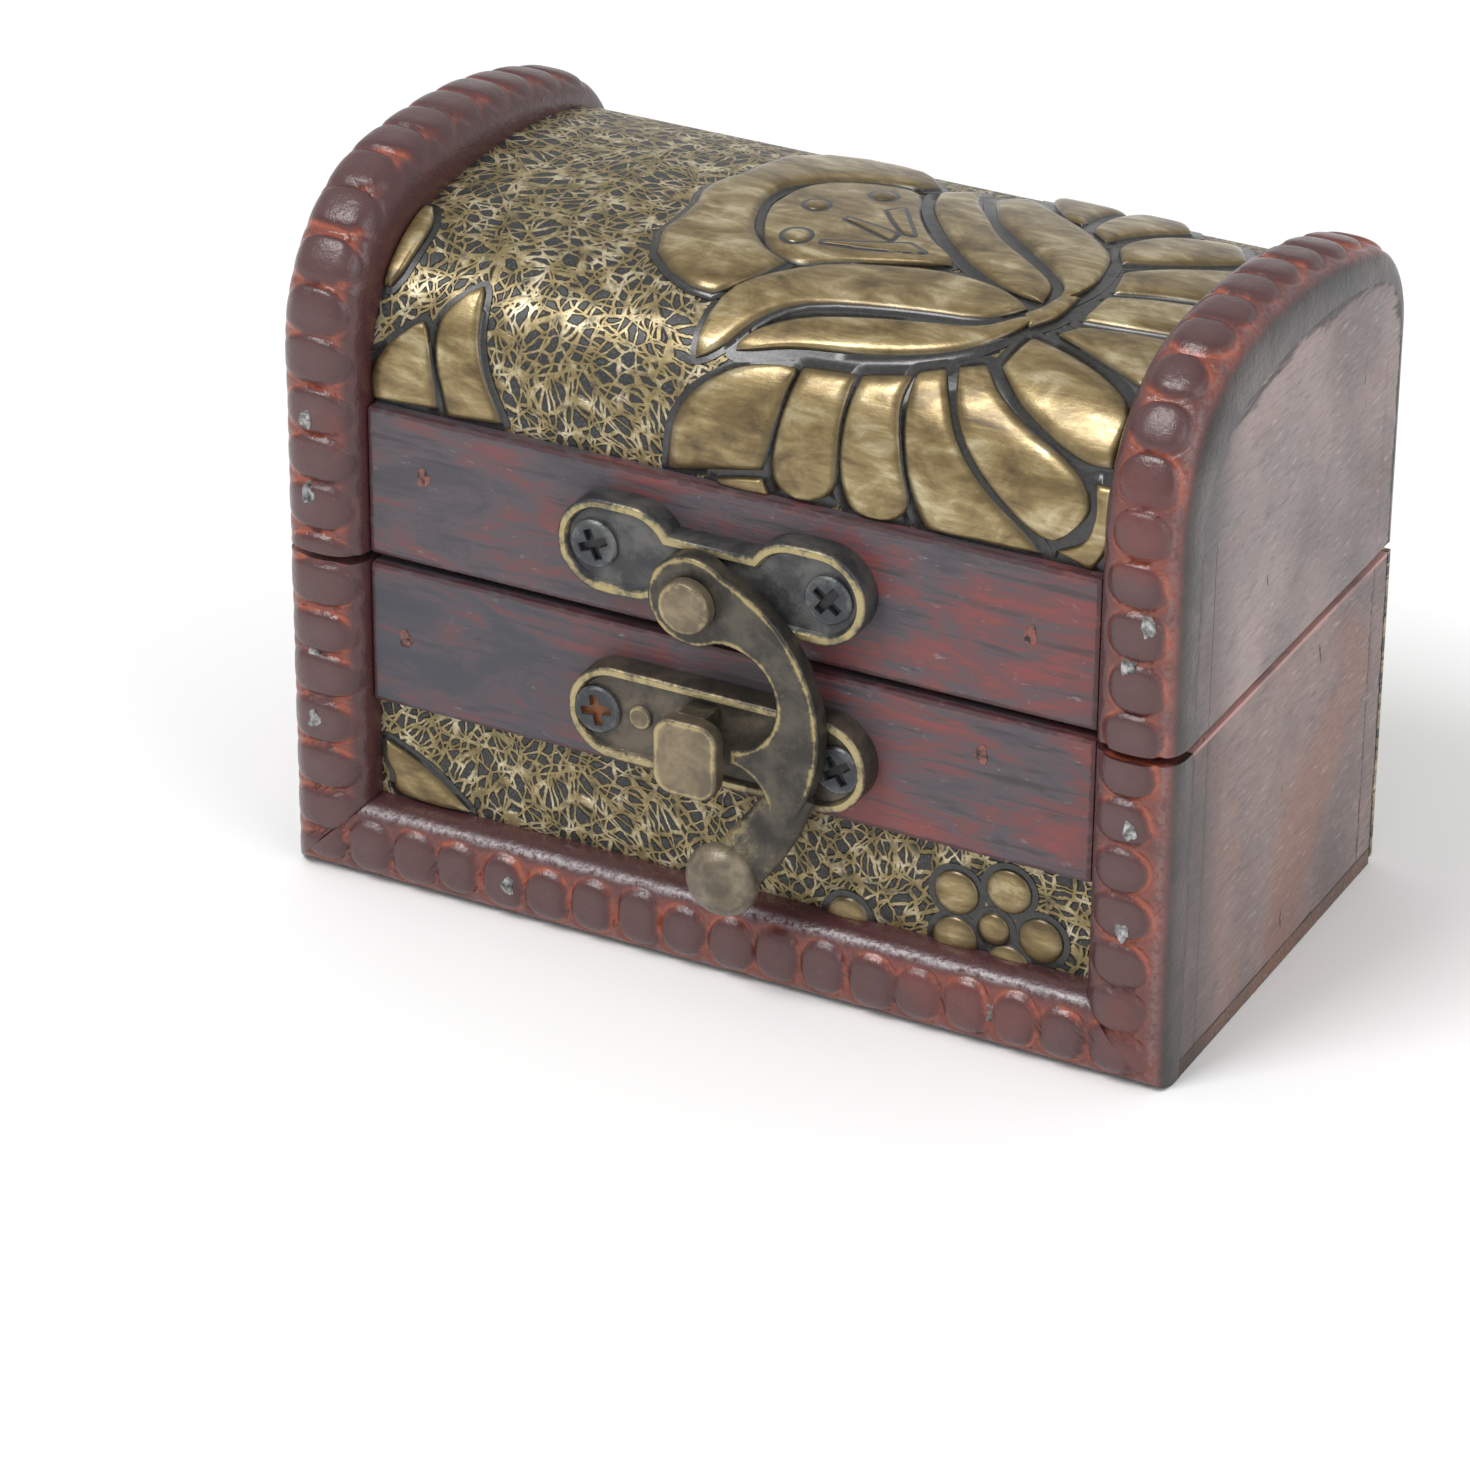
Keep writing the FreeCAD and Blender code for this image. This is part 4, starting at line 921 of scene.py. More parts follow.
# Embossed cover of the lid. One sheet of the same cloth is glued from the strip over the crown to the back.
# Lotus leaves are pressed into it: a fan along the strip, long leaves round a bud, and a fan behind.
CLOTH_THICK = 0.8
FRONT_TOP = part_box("lid_front_strip")[1].z / MM
FRONT_RISE = FRONT_BEND[1] - FRONT_TOP
COVER_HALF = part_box("lid_leather_cover")[1].x / MM
BACK_START = FRONT_RISE + bent_length(CLOTH_THICK)
COVER_LENGTH = BACK_START + BACK_BEND[1] - LID_RIM
COVER_ROWS = 72


def over_lid(u, v, h):
    """The point u across and v up from the strip along the cover's face, h above it, all in mm."""
    out = CLOTH_THICK - CLOTH_SINK / MM + h
    if v < FRONT_RISE:
        return Vector((u, WOOD_FACE - out, FRONT_TOP + v)) * MM
    if v > BACK_START:
        return Vector((u, WOOD_BACK + out, BACK_BEND[1] - v + BACK_START)) * MM
    return round_bends(u, v - FRONT_RISE, CLOTH_THICK, out)


def over_back(u, v, h):
    """The same chart turned half round, so that it starts at the lid's back edge."""
    return over_lid(-u, COVER_LENGTH - v, h)


cover = cloth_panel(COVER_HALF * 2, COVER_LENGTH, PANEL_COLUMNS, COVER_ROWS, over_lid)
set_piece(cover, "lid_cloth", "lid", "embossed_cloth", cloth_net, "lid_leather_cover")

LID_FAN = (
    ([(-5.4, 0.2), (-5.0, 4.2), (-3.8, 6.8), (-1.6, 8.9), (0.8, 10.1), (4.4, 10.7)],
     [(2.6, 1.9), (3.1, 4.0), (3.6, 6.6), (3.9, 8.6), (4.4, 10.7)]),
    ([(-1.2, 0.4), (1.0, 0.8), (3.0, 1.1)], [(-1.1, 0.1), (1.6, 0.1), (3.4, 0.2)]),
    ([(5.1, 11.0), (4.3, 6.5), (3.9, 2.6), (4.6, 0.9), (6.5, 0.3)],
     [(9.2, 11.3), (9.0, 7.5), (9.1, 3.4), (8.5, 1.2), (6.5, 0.3)]),
    ([(10.1, 11.4), (9.7, 7.5), (9.9, 3.0), (10.8, 0.7), (12.8, 0.2)],
     [(13.8, 12.2), (13.6, 9.5), (14.5, 5.5), (15.3, 2.2), (14.6, 0.7), (12.8, 0.2)]),
    ([(14.4, 12.6), (14.5, 9.5), (15.3, 5.6), (16.4, 2.0), (17.4, 0.2)],
     [(16.1, 13.3), (17.2, 11.0), (19.1, 7.5), (21.9, 4.6), (25.2, 2.0), (26.8, 0.4)]),
    ([(17.4, 13.9), (18.8, 9.7), (21.1, 6.5), (24.1, 3.8), (26.6, 2.1), (28.5, 2.0)],
     [(19.0, 14.5), (21.2, 12.1), (24.5, 9.9), (27.9, 8.3), (30.1, 6.5), (30.5, 4.4), (28.5, 2.0)]),
    ([(20.5, 14.8), (23.3, 12.0), (26.6, 10.0), (29.8, 8.7), (32.1, 8.7)],
     [(21.3, 18.2), (24.0, 17.5), (28.0, 15.9), (31.1, 13.9), (32.2, 12.0)]),
    ([(31.3, 7.2), (31.6, 4.6), (30.7, 2.3), (28.4, 0.9)],
     [(32.4, 7.2), (32.4, 5.0), (32.4, 2.5), (31.0, 0.1)]),
    ([(-32.3, 0.3), (-32.3, 2.6), (-31.0, 5.2), (-28.2, 7.8)],
     [(-26.7, 0.6), (-27.0, 3.1), (-27.5, 5.6), (-28.2, 7.8)]),
    ([(-25.4, 0.2), (-25.8, 2.4), (-26.5, 5.4), (-26.4, 8.6), (-23.9, 11.6)],
     [(-20.7, 0.6), (-22.3, 4.1), (-23.2, 6.8), (-23.6, 9.4), (-23.9, 11.6)]),
)
LID_LEAVES = (
    ([(23.2, 19.6), (26.0, 18.4), (29.0, 17.0), (32.3, 15.6)],
     [(24.0, 20.5), (27.5, 21.2), (30.0, 21.5), (32.3, 21.7)]),
    ([(24.0, 22.1), (27.0, 22.3), (32.3, 22.8)], [(24.2, 25.7), (28.0, 26.8), (32.3, 27.5)]),
    ([(24.3, 27.0), (28.0, 28.0), (32.3, 28.7)], [(23.6, 30.1), (27.0, 32.8), (31.8, 35.6)]),
    ([(22.5, 32.4), (25.4, 33.6), (28.5, 35.5), (31.2, 37.8)],
     [(21.4, 34.4), (21.8, 37.2), (23.8, 40.2), (28.8, 42.0)]),
    ([(19.5, 35.9), (21.0, 39.0), (24.0, 43.2)], [(17.9, 37.4), (17.6, 41.0), (18.6, 46.0), (21.5, 47.5)]),
    ([(16.0, 38.9), (16.0, 42.0), (16.6, 47.5)], [(14.7, 39.4), (12.4, 42.6), (11.0, 46.0), (13.0, 48.5)]),
    ([(-1.1, 11.0), (0.1, 13.0), (3.3, 15.0), (8.0, 16.3), (13.0, 17.2), (17.1, 18.0), (20.6, 21.3)],
     [(-1.1, 11.0), (3.6, 12.3), (9.6, 13.1), (14.2, 14.3), (17.5, 16.0), (19.6, 18.6), (20.6, 21.3)]),
    ([(-4.2, 9.7), (-4.3, 13.0), (-3.5, 16.7), (-1.2, 19.4), (1.9, 21.8), (6.3, 23.4), (11.0, 24.4),
      (15.5, 23.8), (19.4, 21.9)],
     [(-4.2, 9.7), (-2.1, 11.7), (-0.2, 14.5), (2.6, 16.7), (7.2, 18.0), (12.2, 18.9), (16.5, 19.6),
      (19.4, 21.9)]),
    ([(3.4, 39.6), (4.9, 35.3), (8.2, 30.7), (11.9, 27.0), (16.4, 24.2), (20.1, 23.1)],
     [(5.7, 41.8), (6.8, 38.8), (9.5, 35.1), (12.6, 31.4), (16.5, 28.4), (19.3, 25.9), (20.1, 23.1)]),
    ([(7.8, 40.8), (10.5, 35.8), (14.4, 32.0), (18.5, 28.4), (20.8, 25.9), (21.3, 23.4)],
     [(9.2, 43.0), (12.7, 40.4), (17.2, 37.1), (20.9, 33.4), (22.1, 30.1), (22.3, 26.7), (21.3, 23.4)]),
    ([(19.6, 20.7), (20.6, 22.2), (21.2, 24.4)], [(20.4, 19.7), (21.9, 21.8), (22.2, 25.0)]),
    ([(-32.4, 9.8), (-32.4, 14.0), (-32.4, 18.2)],
     [(-32.0, 9.8), (-31.3, 12.0), (-31.0, 15.6), (-32.0, 18.2)]),
)
BUD_OUTER = [
    [(-2.8, 17.9), (-5.0, 15.6), (-8.6, 16.5), (-11.7, 18.9), (-12.7, 22.4), (-11.8, 25.7)],
    [(-11.8, 25.7), (-12.8, 28.8), (-12.4, 31.4), (-11.1, 34.0)],
    [(-11.1, 34.0), (-11.6, 37.5), (-10.0, 41.4), (-7.0, 43.8), (-2.9, 44.2), (0.3, 43.4), (2.9, 40.2)],
]
BUD_INNER = [
    [(-1.2, 20.9), (-3.8, 22.2), (-6.0, 24.4), (-7.1, 26.6)],
    [(-7.1, 26.6), (-7.9, 29.6), (-7.7, 32.2), (-6.9, 34.2)],
    [(-6.9, 34.2), (-4.6, 36.7), (-1.0, 38.8), (1.9, 39.4)],
]
PAD_UNDER = [
    (11.0, 25.8), (6.3, 24.2), (3.0, 23.1), (0.7, 21.9), (-0.9, 21.5), (-3.5, 22.6), (-5.6, 25.6),
    (-6.8, 30.2),
]
PAD_OVER = [
    (11.0, 25.8), (7.8, 28.5), (5.6, 31.2), (3.9, 34.0), (2.4, 37.4), (-0.2, 37.9), (-4.7, 35.4),
    (-6.8, 30.2),
]
PAD_DOME = 0.55
PAD_ROUND = 0.07
BUD_DOME = 0.75
STROKE_DOME = 0.12
STROKE_GROOVE = 0.34
DOT_DOME = 0.3
DOT_GROOVE = 0.36
LIFT_STEPS = 5
NARROW_SIDE = -2
BUD_BUTTONS = ((-3.3, 30.2, 0.95), (0.5, 34.7, 1.0), (-2.2, 24.6, 1.1))
BUD_STROKES = (
    ([(0.1, 24.6), (3.3, 25.7), (6.6, 27.0)], [(0.2, 24.3), (4.4, 25.0), (8.4, 26.1)]),
    ([(0.1, 29.1), (2.5, 28.7), (5.0, 28.1)], [(0.0, 28.8), (2.5, 27.9), (5.0, 26.9)]),
    ([(2.2, 31.9), (3.7, 30.1), (5.3, 28.5)], [(3.1, 33.0), (4.7, 30.7), (6.3, 28.4)]),
)


def on_pad(u, v, h):
    """The same chart, on top of the bud's pad."""
    return over_lid(u, v, h + PAD_DOME)


gold = gilt_sheet()
for place, leaves in ((over_lid, LID_FAN + LID_LEAVES), (over_back, LID_FAN)):
    for number, (left, right) in enumerate(leaves):
        groove = GROOVE_WIDTH if left[0][0] < NARROW_SIDE else WIDE_GROOVE
        lift = GROOVE_LIFT + number % LIFT_STEPS * GROOVE_STEP
        pressed_leaf(gold, left, right, place, groove=groove, lift=lift)
bud_lift = GROOVE_LIFT + LIFT_STEPS * GROOVE_STEP
pressed_leaf(gold, BUD_OUTER, BUD_INNER, over_lid, dome=BUD_DOME, lift=bud_lift)
pressed_leaf(gold, PAD_UNDER, PAD_OVER, over_lid, dome=PAD_DOME, crown=0.0, sides=PAD_ROUND)
for left, right in BUD_STROKES:
    pressed_leaf(gold, left, right, on_pad, dome=STROKE_DOME, groove=STROKE_GROOVE, grow=0.0)
for u, v, radius in BUD_BUTTONS:
    pressed_button(gold, u, v, radius, on_pad, DOT_DOME, groove=DOT_GROOVE)
set_piece(gold, "lid_cloth_gilding", "lid", "embossed_cloth", cloth_gold, crease=GILT_CREASE)


# Plain strip and carved arches of the lid. The strip matches the base's; the arches are the same beading,
# steamed and bent over the ends of the lid, thinning out down the back. They are nailed as the base's are.
ARCH_FRONT = (-8.0, 48.23, 14.0)
ARCH_CROWN = (-4.0, 0.4, 62.0)
ARCH_BACK = (14.2, 50.82, 8.4)
ARCH_PITCH = 4.42
ARCH_WEAR = 0.2

strip = eased_board(*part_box("lid_front_strip"), STRIP_EASE, STRIP_WEAR)
lid_strip_stain = strip_stain("lid_strip_stain", sooty=0.2)
lid_strip = set_piece(strip, "lid_strip", "lid", "stained_strip", lid_strip_stain, "lid_front_strip")


def bow_spans(front, crown, back, front_face, back_face):
    """A bow from front rim to back rim as straight spans and arcs, each a length and a way to walk it."""
    joins = (math.pi, heading(crown, front), heading(crown, back), 0.0)
    spans = [(front[1] - LID_RIM, lambda s: (front_face, LID_RIM + s * (front[1] - LID_RIM)))]
    for bend, first, last in zip((front, crown, back), joins, joins[1:]):
        def walk(s, bend=bend, first=first, last=last):
            angle = first + s * (last - first)
            return bend[0] + bend[2] * math.cos(angle), bend[1] + bend[2] * math.sin(angle)
        spans.append((bend[2] * (first - last), walk))
    spans.append((back[1] - LID_RIM, lambda s: (back_face, back[1] - s * (back[1] - LID_RIM))))
    return spans


TRIM_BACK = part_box("lid_right_arch_trim")[1].y / MM
wood_bow = bow_spans(FRONT_BEND, CROWN_BEND, BACK_BEND, WOOD_FACE, WOOD_BACK)
arch_bow = bow_spans(ARCH_FRONT, ARCH_CROWN, ARCH_BACK, WOOD_FACE - TRIM_DEPTH, TRIM_BACK)
ARCH_LENGTH = sum(length for length, walk in arch_bow)


def arch(side, shift, middle, half_width):
    """An arch of beading between the wooden bow under it and its own outer bow."""
    def place(along, turn):
        across, lift = section(turn)
        left = along * ARCH_LENGTH
        for (length, walk), (_, foot_walk) in zip(arch_bow, wood_bow):
            if left <= length + 1e-6:
                break
            left -= length
        share = min(left / length, 1.0)
        inner, outer = Vector(foot_walk(share)), Vector(walk(share))
        depth = (outer - inner).length
        run = along * ARCH_LENGTH + shift
        spread, relief = bead(run, ARCH_PITCH, (across - middle) * TRIM_WIDTH, half_width, side * 2)
        thin = min(depth / TRIM_DEPTH, 1.0)
        out = inner.lerp(outer, lift + relief * thin * lift ** 3 / depth)
        x = side * (HALF_WIDTH - (1 - across) * TRIM_WIDTH)
        scuff = hump(across, *CORNER_SCUFF) * ARCH_WEAR
        return Vector((x, out.x, out.y)) * MM, spread, across, scuff
    return place


arch_steps = round(ARCH_LENGTH / KNIFE_STEP)
left_arch = arch(-1, shift=2.62, middle=0.53, half_width=3.3)
right_arch = arch(1, shift=1.0, middle=0.5, half_width=2.5)
arches = [
    moulding("lid_left_arch", "lid_left_arch_trim", "lid", arch_steps, left_arch),
    moulding("lid_right_arch", "lid_right_arch_trim", "lid", arch_steps, right_arch),
]
nails("lid_arch_nails", "lid_trim_brads", "lid", nail_finish, arches)
nails("lid_strip_nails", "lid_strip_brads", "lid", dent_finish, [lid_strip])


# Hasp. Two plates and a swing arm are stamped from thick brass sheet, blackened all over and worn back to
# yellow along the crest of their rims. Cross-head screws hold the plates, and a flat rivet carries the arm.
LIP_EASE = 0.3 * MM
RIM_WIDTH = 0.36 * MM
PAN_SLOPE = 0.3 * MM
PAN_DEPTH = 0.5 * MM
SAME_POINT = 0.06 * MM
ARC_STEP = 8
LIP_SHARE = 0.25
HASP_CREASE = 50
LIP_WEAR = 0.8
WALL_DARK_AND_SHADE = 0.45
ROUND_STEPS = 24


def blackened_brass(name, dark, pale, rim_tone, metal):
    """Blackened brass with cloudy wear and grit, yellow on its rims, painted shade near black in its cuts,
    and rust.
    """
    finish, shader, place = new_finish(name)
    clouds = grain(place, 380, 5, 0.6, 0.3)
    grit = grain(place, 2400, 5, 0.65)
    colour = washes(paint(*dark), (clouds, 0.36, 0.66, 1.0, pale), (grit, 0.6, 0.8, 0.5, (132, 124, 104)))
    worn = plus(clouds, times(grit, 0.5))
    rub = plus(marked(shader, "rim"), between(worn, 0.55, 0.95, -0.45, 0.25))
    rub = between(rub, 0.3, 1.0, 0.0, 0.85)
    colour = blend(rub, colour, paint(*rim_tone))
    # Painted shade: near black in the screws' crosses, and darker down the stampings' walls along with their
    # blackening; rust is real.
    pit_shade, rust = marked(shader, "pit_shade"), marked(shader, "rust")
    colour = blend(pit_shade, colour, paint(14, 14, 15))
    colour = blend(rust, colour, paint(112, 64, 24))
    height = plus(grit, clouds)
    bare = between(plus(pit_shade, rust), 0.0, 1.0, 1.0, 0.0)
    shine = times(between(rub, 0.0, 1.0, metal, 0.75), bare)
    coat(shader, colour, between(grit, 0.3, 0.7, 0.28, 0.44), height, 0.05 * MM, Metallic=shine)
    return finish


hasp_black = blackened_brass("hasp_black", (60, 61, 63), (98, 97, 95), (186, 170, 122), 0.4)
hasp_brown = blackened_brass("hasp_brown", (68, 63, 56), (102, 93, 80), (186, 170, 126), 0.45)
hasp_bronze = blackened_brass("hasp_bronze", (104, 93, 76), (138, 124, 100), (182, 166, 124), 0.45)
arm_grey = blackened_brass("arm_grey", (56, 53, 49), (88, 82, 72), (180, 162, 114), 0.45)
knob_bronze = blackened_brass("knob_bronze", (92, 84, 72), (136, 124, 104), (178, 164, 126), 0.45)
screw_grey = blackened_brass("screw_grey", (54, 57, 61), (78, 81, 84), (116, 118, 114), 0.3)


def hasp_mesh():
    """An empty mesh and the three values that the hasp's metal carries on its points: rim, pit shade and
    rust.
    """
    bm = bmesh.new()
    return bm, *[bm.verts.layers.float.new(mark) for mark in ("rim", "pit_shade", "rust")]


def hasp_piece(bm, name, body, finish, *nodes):
    """A stamped or turned piece of the hasp."""
    set_piece(bm, name, body, "antique_bronze", finish, *nodes, crease=HASP_CREASE)


def stamped_outline(bm, steps, y):
    """A flat face at depth y from steps in x and z: (x, z) points, or arcs (x, z, radius, from, to)."""
    chain = []
    for step in steps:
        if len(step) == 2:
            chain.append(bm.verts.new((step[0] * MM, y, step[1] * MM)))
            continue
        x, z, radius, first, last = step
        middle = Vector((x * MM, y, z * MM))
        first, last = math.radians(first), math.radians(last)
        start = bm.verts.new(middle + Vector((math.cos(first), 0, math.sin(first))) * radius * MM)
        count = max(4, round(abs(last - first) / math.radians(ARC_STEP)))
        known = set(bm.verts)
        bmesh.ops.spin(
            bm, geom=[start], cent=middle, axis=(0, -1, 0), angle=last - first, steps=count, use_merge=False,
        )
        chain += [start] + [vert for vert in bm.verts if vert not in known]
    bm.faces.new(chain)
    bmesh.ops.remove_doubles(bm, verts=bm.verts, dist=SAME_POINT)
    bm.faces.ensure_lookup_table()
    return bm.faces[0]


def stamped(steps, back, front, rim_width=RIM_WIDTH, pan=0.0):
    """A stamping between two depths: outline drawn forward, lip rounded, crest worn, pan sunk inside it."""
    bm, rim, pit_shade, _ = hasp_mesh()
    face = stamped_outline(bm, steps, back)
    drawn = bmesh.ops.extrude_face_region(bm, geom=[face])["geom"]
    fresh = [item for item in drawn if isinstance(item, bmesh.types.BMVert)]
    bmesh.ops.translate(bm, vec=(0, front - back, 0), verts=fresh)
    bmesh.ops.recalc_face_normals(bm, faces=bm.faces)
    lip = [edge for edge in bm.edges if all(abs(vert.co.y - front) < 1e-7 for vert in edge.verts)]
    bmesh.ops.bevel(
        bm, geom=lip, offset=LIP_EASE, offset_type="OFFSET",
        affect="EDGES", segments=3, profile=0.5, material=-1,
    )
    top = max((face for face in bm.faces if face.normal.y < -0.99), key=lambda face: face.calc_area())
    # Back from the worn crest of the lip the metal is painted darker: its blackening, and painted shade down
    # the walls.
    lip_depth = (back - front) * LIP_SHARE
    for vert in bm.verts:
        share = min(max((front + lip_depth - vert.co.y) / lip_depth, 0.0), 1.0)
        vert[rim] = share ** 2 * LIP_WEAR
        vert[pit_shade] = (1 - share) * WALL_DARK_AND_SHADE
    for vert in top.verts:
        vert[rim] = 1.0
    bmesh.ops.inset_region(bm, faces=[top], thickness=rim_width, depth=0.0, use_even_offset=True)
    for vert in top.verts:
        vert[rim] = 1.0 if pan else 0.0
    if pan:
        bmesh.ops.inset_region(bm, faces=[top], thickness=PAN_SLOPE, depth=-pan, use_even_offset=True)
        for vert in top.verts:
            vert[rim] = 0.0
    return bm


PLATE_LOW, PLATE_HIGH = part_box("hasp_upper_plate")
PLATE_BACK = PLATE_HIGH.y
PLATE_FACE = PLATE_LOW.y
LOBE_RADIUS = 4.1
LOBE_LENGTH = 10.6
LOBE_LEVEL = PLATE_HIGH.z / MM - LOBE_RADIUS
LEFT_OUTER = PLATE_LOW.x / MM + LOBE_RADIUS
LEFT_INNER = PLATE_LOW.x / MM + LOBE_LENGTH - LOBE_RADIUS
RIGHT_INNER = PLATE_HIGH.x / MM - LOBE_LENGTH + LOBE_RADIUS
RIGHT_OUTER = PLATE_HIGH.x / MM - LOBE_RADIUS
WAIST_HALF = 2.2
RIVET_LOW, RIVET_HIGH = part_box("hasp_pivot_rivet")
RIVET_X = (RIVET_LOW.x + RIVET_HIGH.x) / 2 / MM
RIVET_Z = (RIVET_LOW.z + RIVET_HIGH.z) / 2 / MM
EYE_RADIUS = 3.9
waist = math.degrees(math.asin(WAIST_HALF / LOBE_RADIUS))
upper_plate = stamped(
    [
        (RIGHT_OUTER, LOBE_LEVEL, LOBE_RADIUS, -90, 90),
        (RIGHT_INNER, LOBE_LEVEL, LOBE_RADIUS, 90, 180 - waist),
        (LEFT_INNER, LOBE_LEVEL, LOBE_RADIUS, waist, 90),
        (LEFT_OUTER, LOBE_LEVEL, LOBE_RADIUS, 90, 270),
        (LEFT_INNER, LOBE_LEVEL, LOBE_RADIUS, 270, 312),
        (RIVET_X, RIVET_Z, EYE_RADIUS, 200, 352),
        (RIGHT_INNER, LOBE_LEVEL, LOBE_RADIUS, 212.5, 270),
    ],
    PLATE_BACK, PLATE_FACE, pan=PAN_DEPTH,
)
hasp_piece(upper_plate, "upper_plate", "lid", hasp_black, "hasp_upper_plate")

CATCH_LOW, CATCH_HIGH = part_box("hasp_catch_plate")
CATCH_END = (CATCH_HIGH.z - CATCH_LOW.z) / 2 / MM
CATCH_LEVEL = (CATCH_HIGH.z + CATCH_LOW.z) / 2 / MM
DIMPLE_X, DIMPLE_Z, DIMPLE_RADIUS = -6.45, CATCH_LEVEL + 0.15, 1.1
catch_plate = stamped(
    [
        (CATCH_HIGH.x / MM - CATCH_END, CATCH_LEVEL, CATCH_END, -90, 90),
        (CATCH_LOW.x / MM + CATCH_END, CATCH_LEVEL, CATCH_END, 90, 270),
    ],
    PLATE_BACK, PLATE_FACE, pan=PAN_DEPTH,
)
hasp_piece(catch_plate, "catch_plate", "base", hasp_brown, "hasp_catch_plate")
dimple = stamped(
    [(DIMPLE_X, DIMPLE_Z, DIMPLE_RADIUS, 0, 345)], PLATE_FACE + PAN_DEPTH + LIP_EASE,
    PLATE_FACE + PAN_DEPTH - LIP_EASE, rim_width=0.1 * MM,
)
hasp_piece(dimple, "catch_plate_dimple", "base", hasp_bronze)

HEAD_LEFT, HEAD_RIGHT = -3.4, 2.3
HEAD_FOOT, HEAD_TOP = 18.45, 25.25
HEAD_BACK, HEAD_FACE = -24.2 * MM, CATCH_LOW.y
HEAD_CORNER = 1.7
NECK_LEFT, NECK_RIGHT = -1.8, 0.7
NECK_FOOT = 23.65
head = stamped(
    [
        (HEAD_RIGHT - HEAD_CORNER, HEAD_FOOT + HEAD_CORNER, HEAD_CORNER, -90, 0),
        (HEAD_RIGHT - HEAD_CORNER, HEAD_TOP - HEAD_CORNER, HEAD_CORNER, 0, 90),
        (HEAD_LEFT + HEAD_CORNER, HEAD_TOP - HEAD_CORNER, HEAD_CORNER, 90, 180),
        (HEAD_LEFT + HEAD_CORNER, HEAD_FOOT + HEAD_CORNER, HEAD_CORNER, 180, 270),
    ],
    HEAD_BACK, HEAD_FACE, rim_width=0.45 * MM,
)
hasp_piece(head, "catch_head", "base", hasp_bronze)
neck = stamped(
    [(NECK_LEFT, NECK_FOOT), (NECK_RIGHT, NECK_FOOT), (NECK_RIGHT, HEAD_TOP), (NECK_LEFT, HEAD_TOP)],
    PLATE_FACE + PAN_DEPTH, HEAD_BACK,
)
hasp_piece(neck, "catch_neck", "base", hasp_brown)

CROSS_ARM = 1.35
CROSS_BLADE = 0.41
CROSS_SINK = 0.42 * MM
CROSS_DRAFT = 0.08 * MM
HEAD_EASE = 0.18 * MM
HEAD_FLAT = 0.2
HEAD_WEAR = 0.7
CROSS_EDGE_SHADE = 0.3
SCREW_CREASE = 35


def cross_screws(name, node, body, left, right):
    """Two flat-headed screws with an eased edge and a deep cross; each has its turn, and may be rusty."""
    low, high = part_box(node)
    radius = (high.z - low.z) / 2
    bm, rim, pit_shade, rust = hasp_mesh()
    for x, (turn, rusty) in ((low.x + radius, left), (high.x - radius, right)):
        made = set(bm.verts)
        inner = radius - HEAD_EASE
        ring = bmesh.ops.create_circle(bm, cap_ends=True, radius=inner, segments=ROUND_STEPS)["verts"]
        cut = ring[0].link_faces[0]
        bmesh.ops.inset_individual(bm, faces=[cut], thickness=radius * HEAD_FLAT, depth=0.0)
        cross = list(cut.verts)
        for vert in cross:
            swing = (math.atan2(vert.co.y, vert.co.x) + math.pi / 4) % (math.pi / 2) - math.pi / 4
            reach = min(CROSS_ARM / math.cos(swing), CROSS_BLADE / max(abs(math.sin(swing)), 0.01))
            vert.co *= reach * MM / vert.co.length
        cut.normal_update()
        bmesh.ops.inset_individual(bm, faces=[cut], thickness=CROSS_DRAFT, depth=-CROSS_SINK)
        for grow, drop in ((radius / inner, HEAD_EASE), (1.0, PAN_DEPTH)):
            edge = [item for item in bm.edges if item.is_boundary]
            skirt = bmesh.ops.extrude_edge_only(bm, edges=edge)["geom"]
            lower = [item for item in skirt if isinstance(item, bmesh.types.BMVert)]
            bmesh.ops.scale(bm, vec=(grow, grow, 1.0), verts=lower)
            bmesh.ops.translate(bm, vec=(0, 0, -drop), verts=lower)
        close_up(bm)
        fresh = [vert for vert in bm.verts if vert not in made]
        for vert in fresh:
            if vert.co.xy.length > radius * (1 - HEAD_FLAT):
                vert[rim] = HEAD_WEAR
        # The cross's floor is painted black as shade, and on the rusty screw it is rust; its rim takes some
        # painted shade.
        for vert in cut.verts:
            vert[rust if rusty else pit_shade] = 1.0
        for vert in cross:
            vert[pit_shade] = CROSS_EDGE_SHADE
        seat = Matrix.Translation((x, low.y, (low.z + high.z) / 2))
        turned = Matrix.Rotation(math.radians(turn), 4, "Z")
        bmesh.ops.transform(bm, matrix=seat @ FACE_FRONT @ turned, verts=fresh)
    set_piece(bm, name, body, "dark_steel", screw_grey, node, crease=SCREW_CREASE)


cross_screws("upper_screws", "hasp_upper_screws", "lid", (24, False), (52, False))
cross_screws("lower_screws", "hasp_lower_screws", "base", (12, True), (35, False))

ARM_LOW, ARM_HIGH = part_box("hasp_swing_arm")
ARM_BACK = ARM_HIGH.y
ARM_THICK = 1.6 * MM
ARM_FACE = ARM_BACK - ARM_THICK
ARM_BOW = (RIVET_X - 2.4, RIVET_Z - 10.0, 13.8)
ARM_WINDOW = (RIVET_X + 3.0, RIVET_Z - 7.75, 4.6)
ARM_HEEL = (RIVET_X + 3.3, RIVET_Z - 17.2, 3.65)
swing_arm = stamped(
    [
        (*ARM_BOW, -55, 68.5), (RIVET_X, RIVET_Z, EYE_RADIUS, 46.9, 304.3),
        (*ARM_WINDOW, 100, -83.7), (*ARM_HEEL, 86.9, -63.5),
    ],
    ARM_BACK, ARM_FACE, rim_width=0.4 * MM,
)
KNOB_X, KNOB_Z = RIVET_X + 3.8, RIVET_Z - 23.2
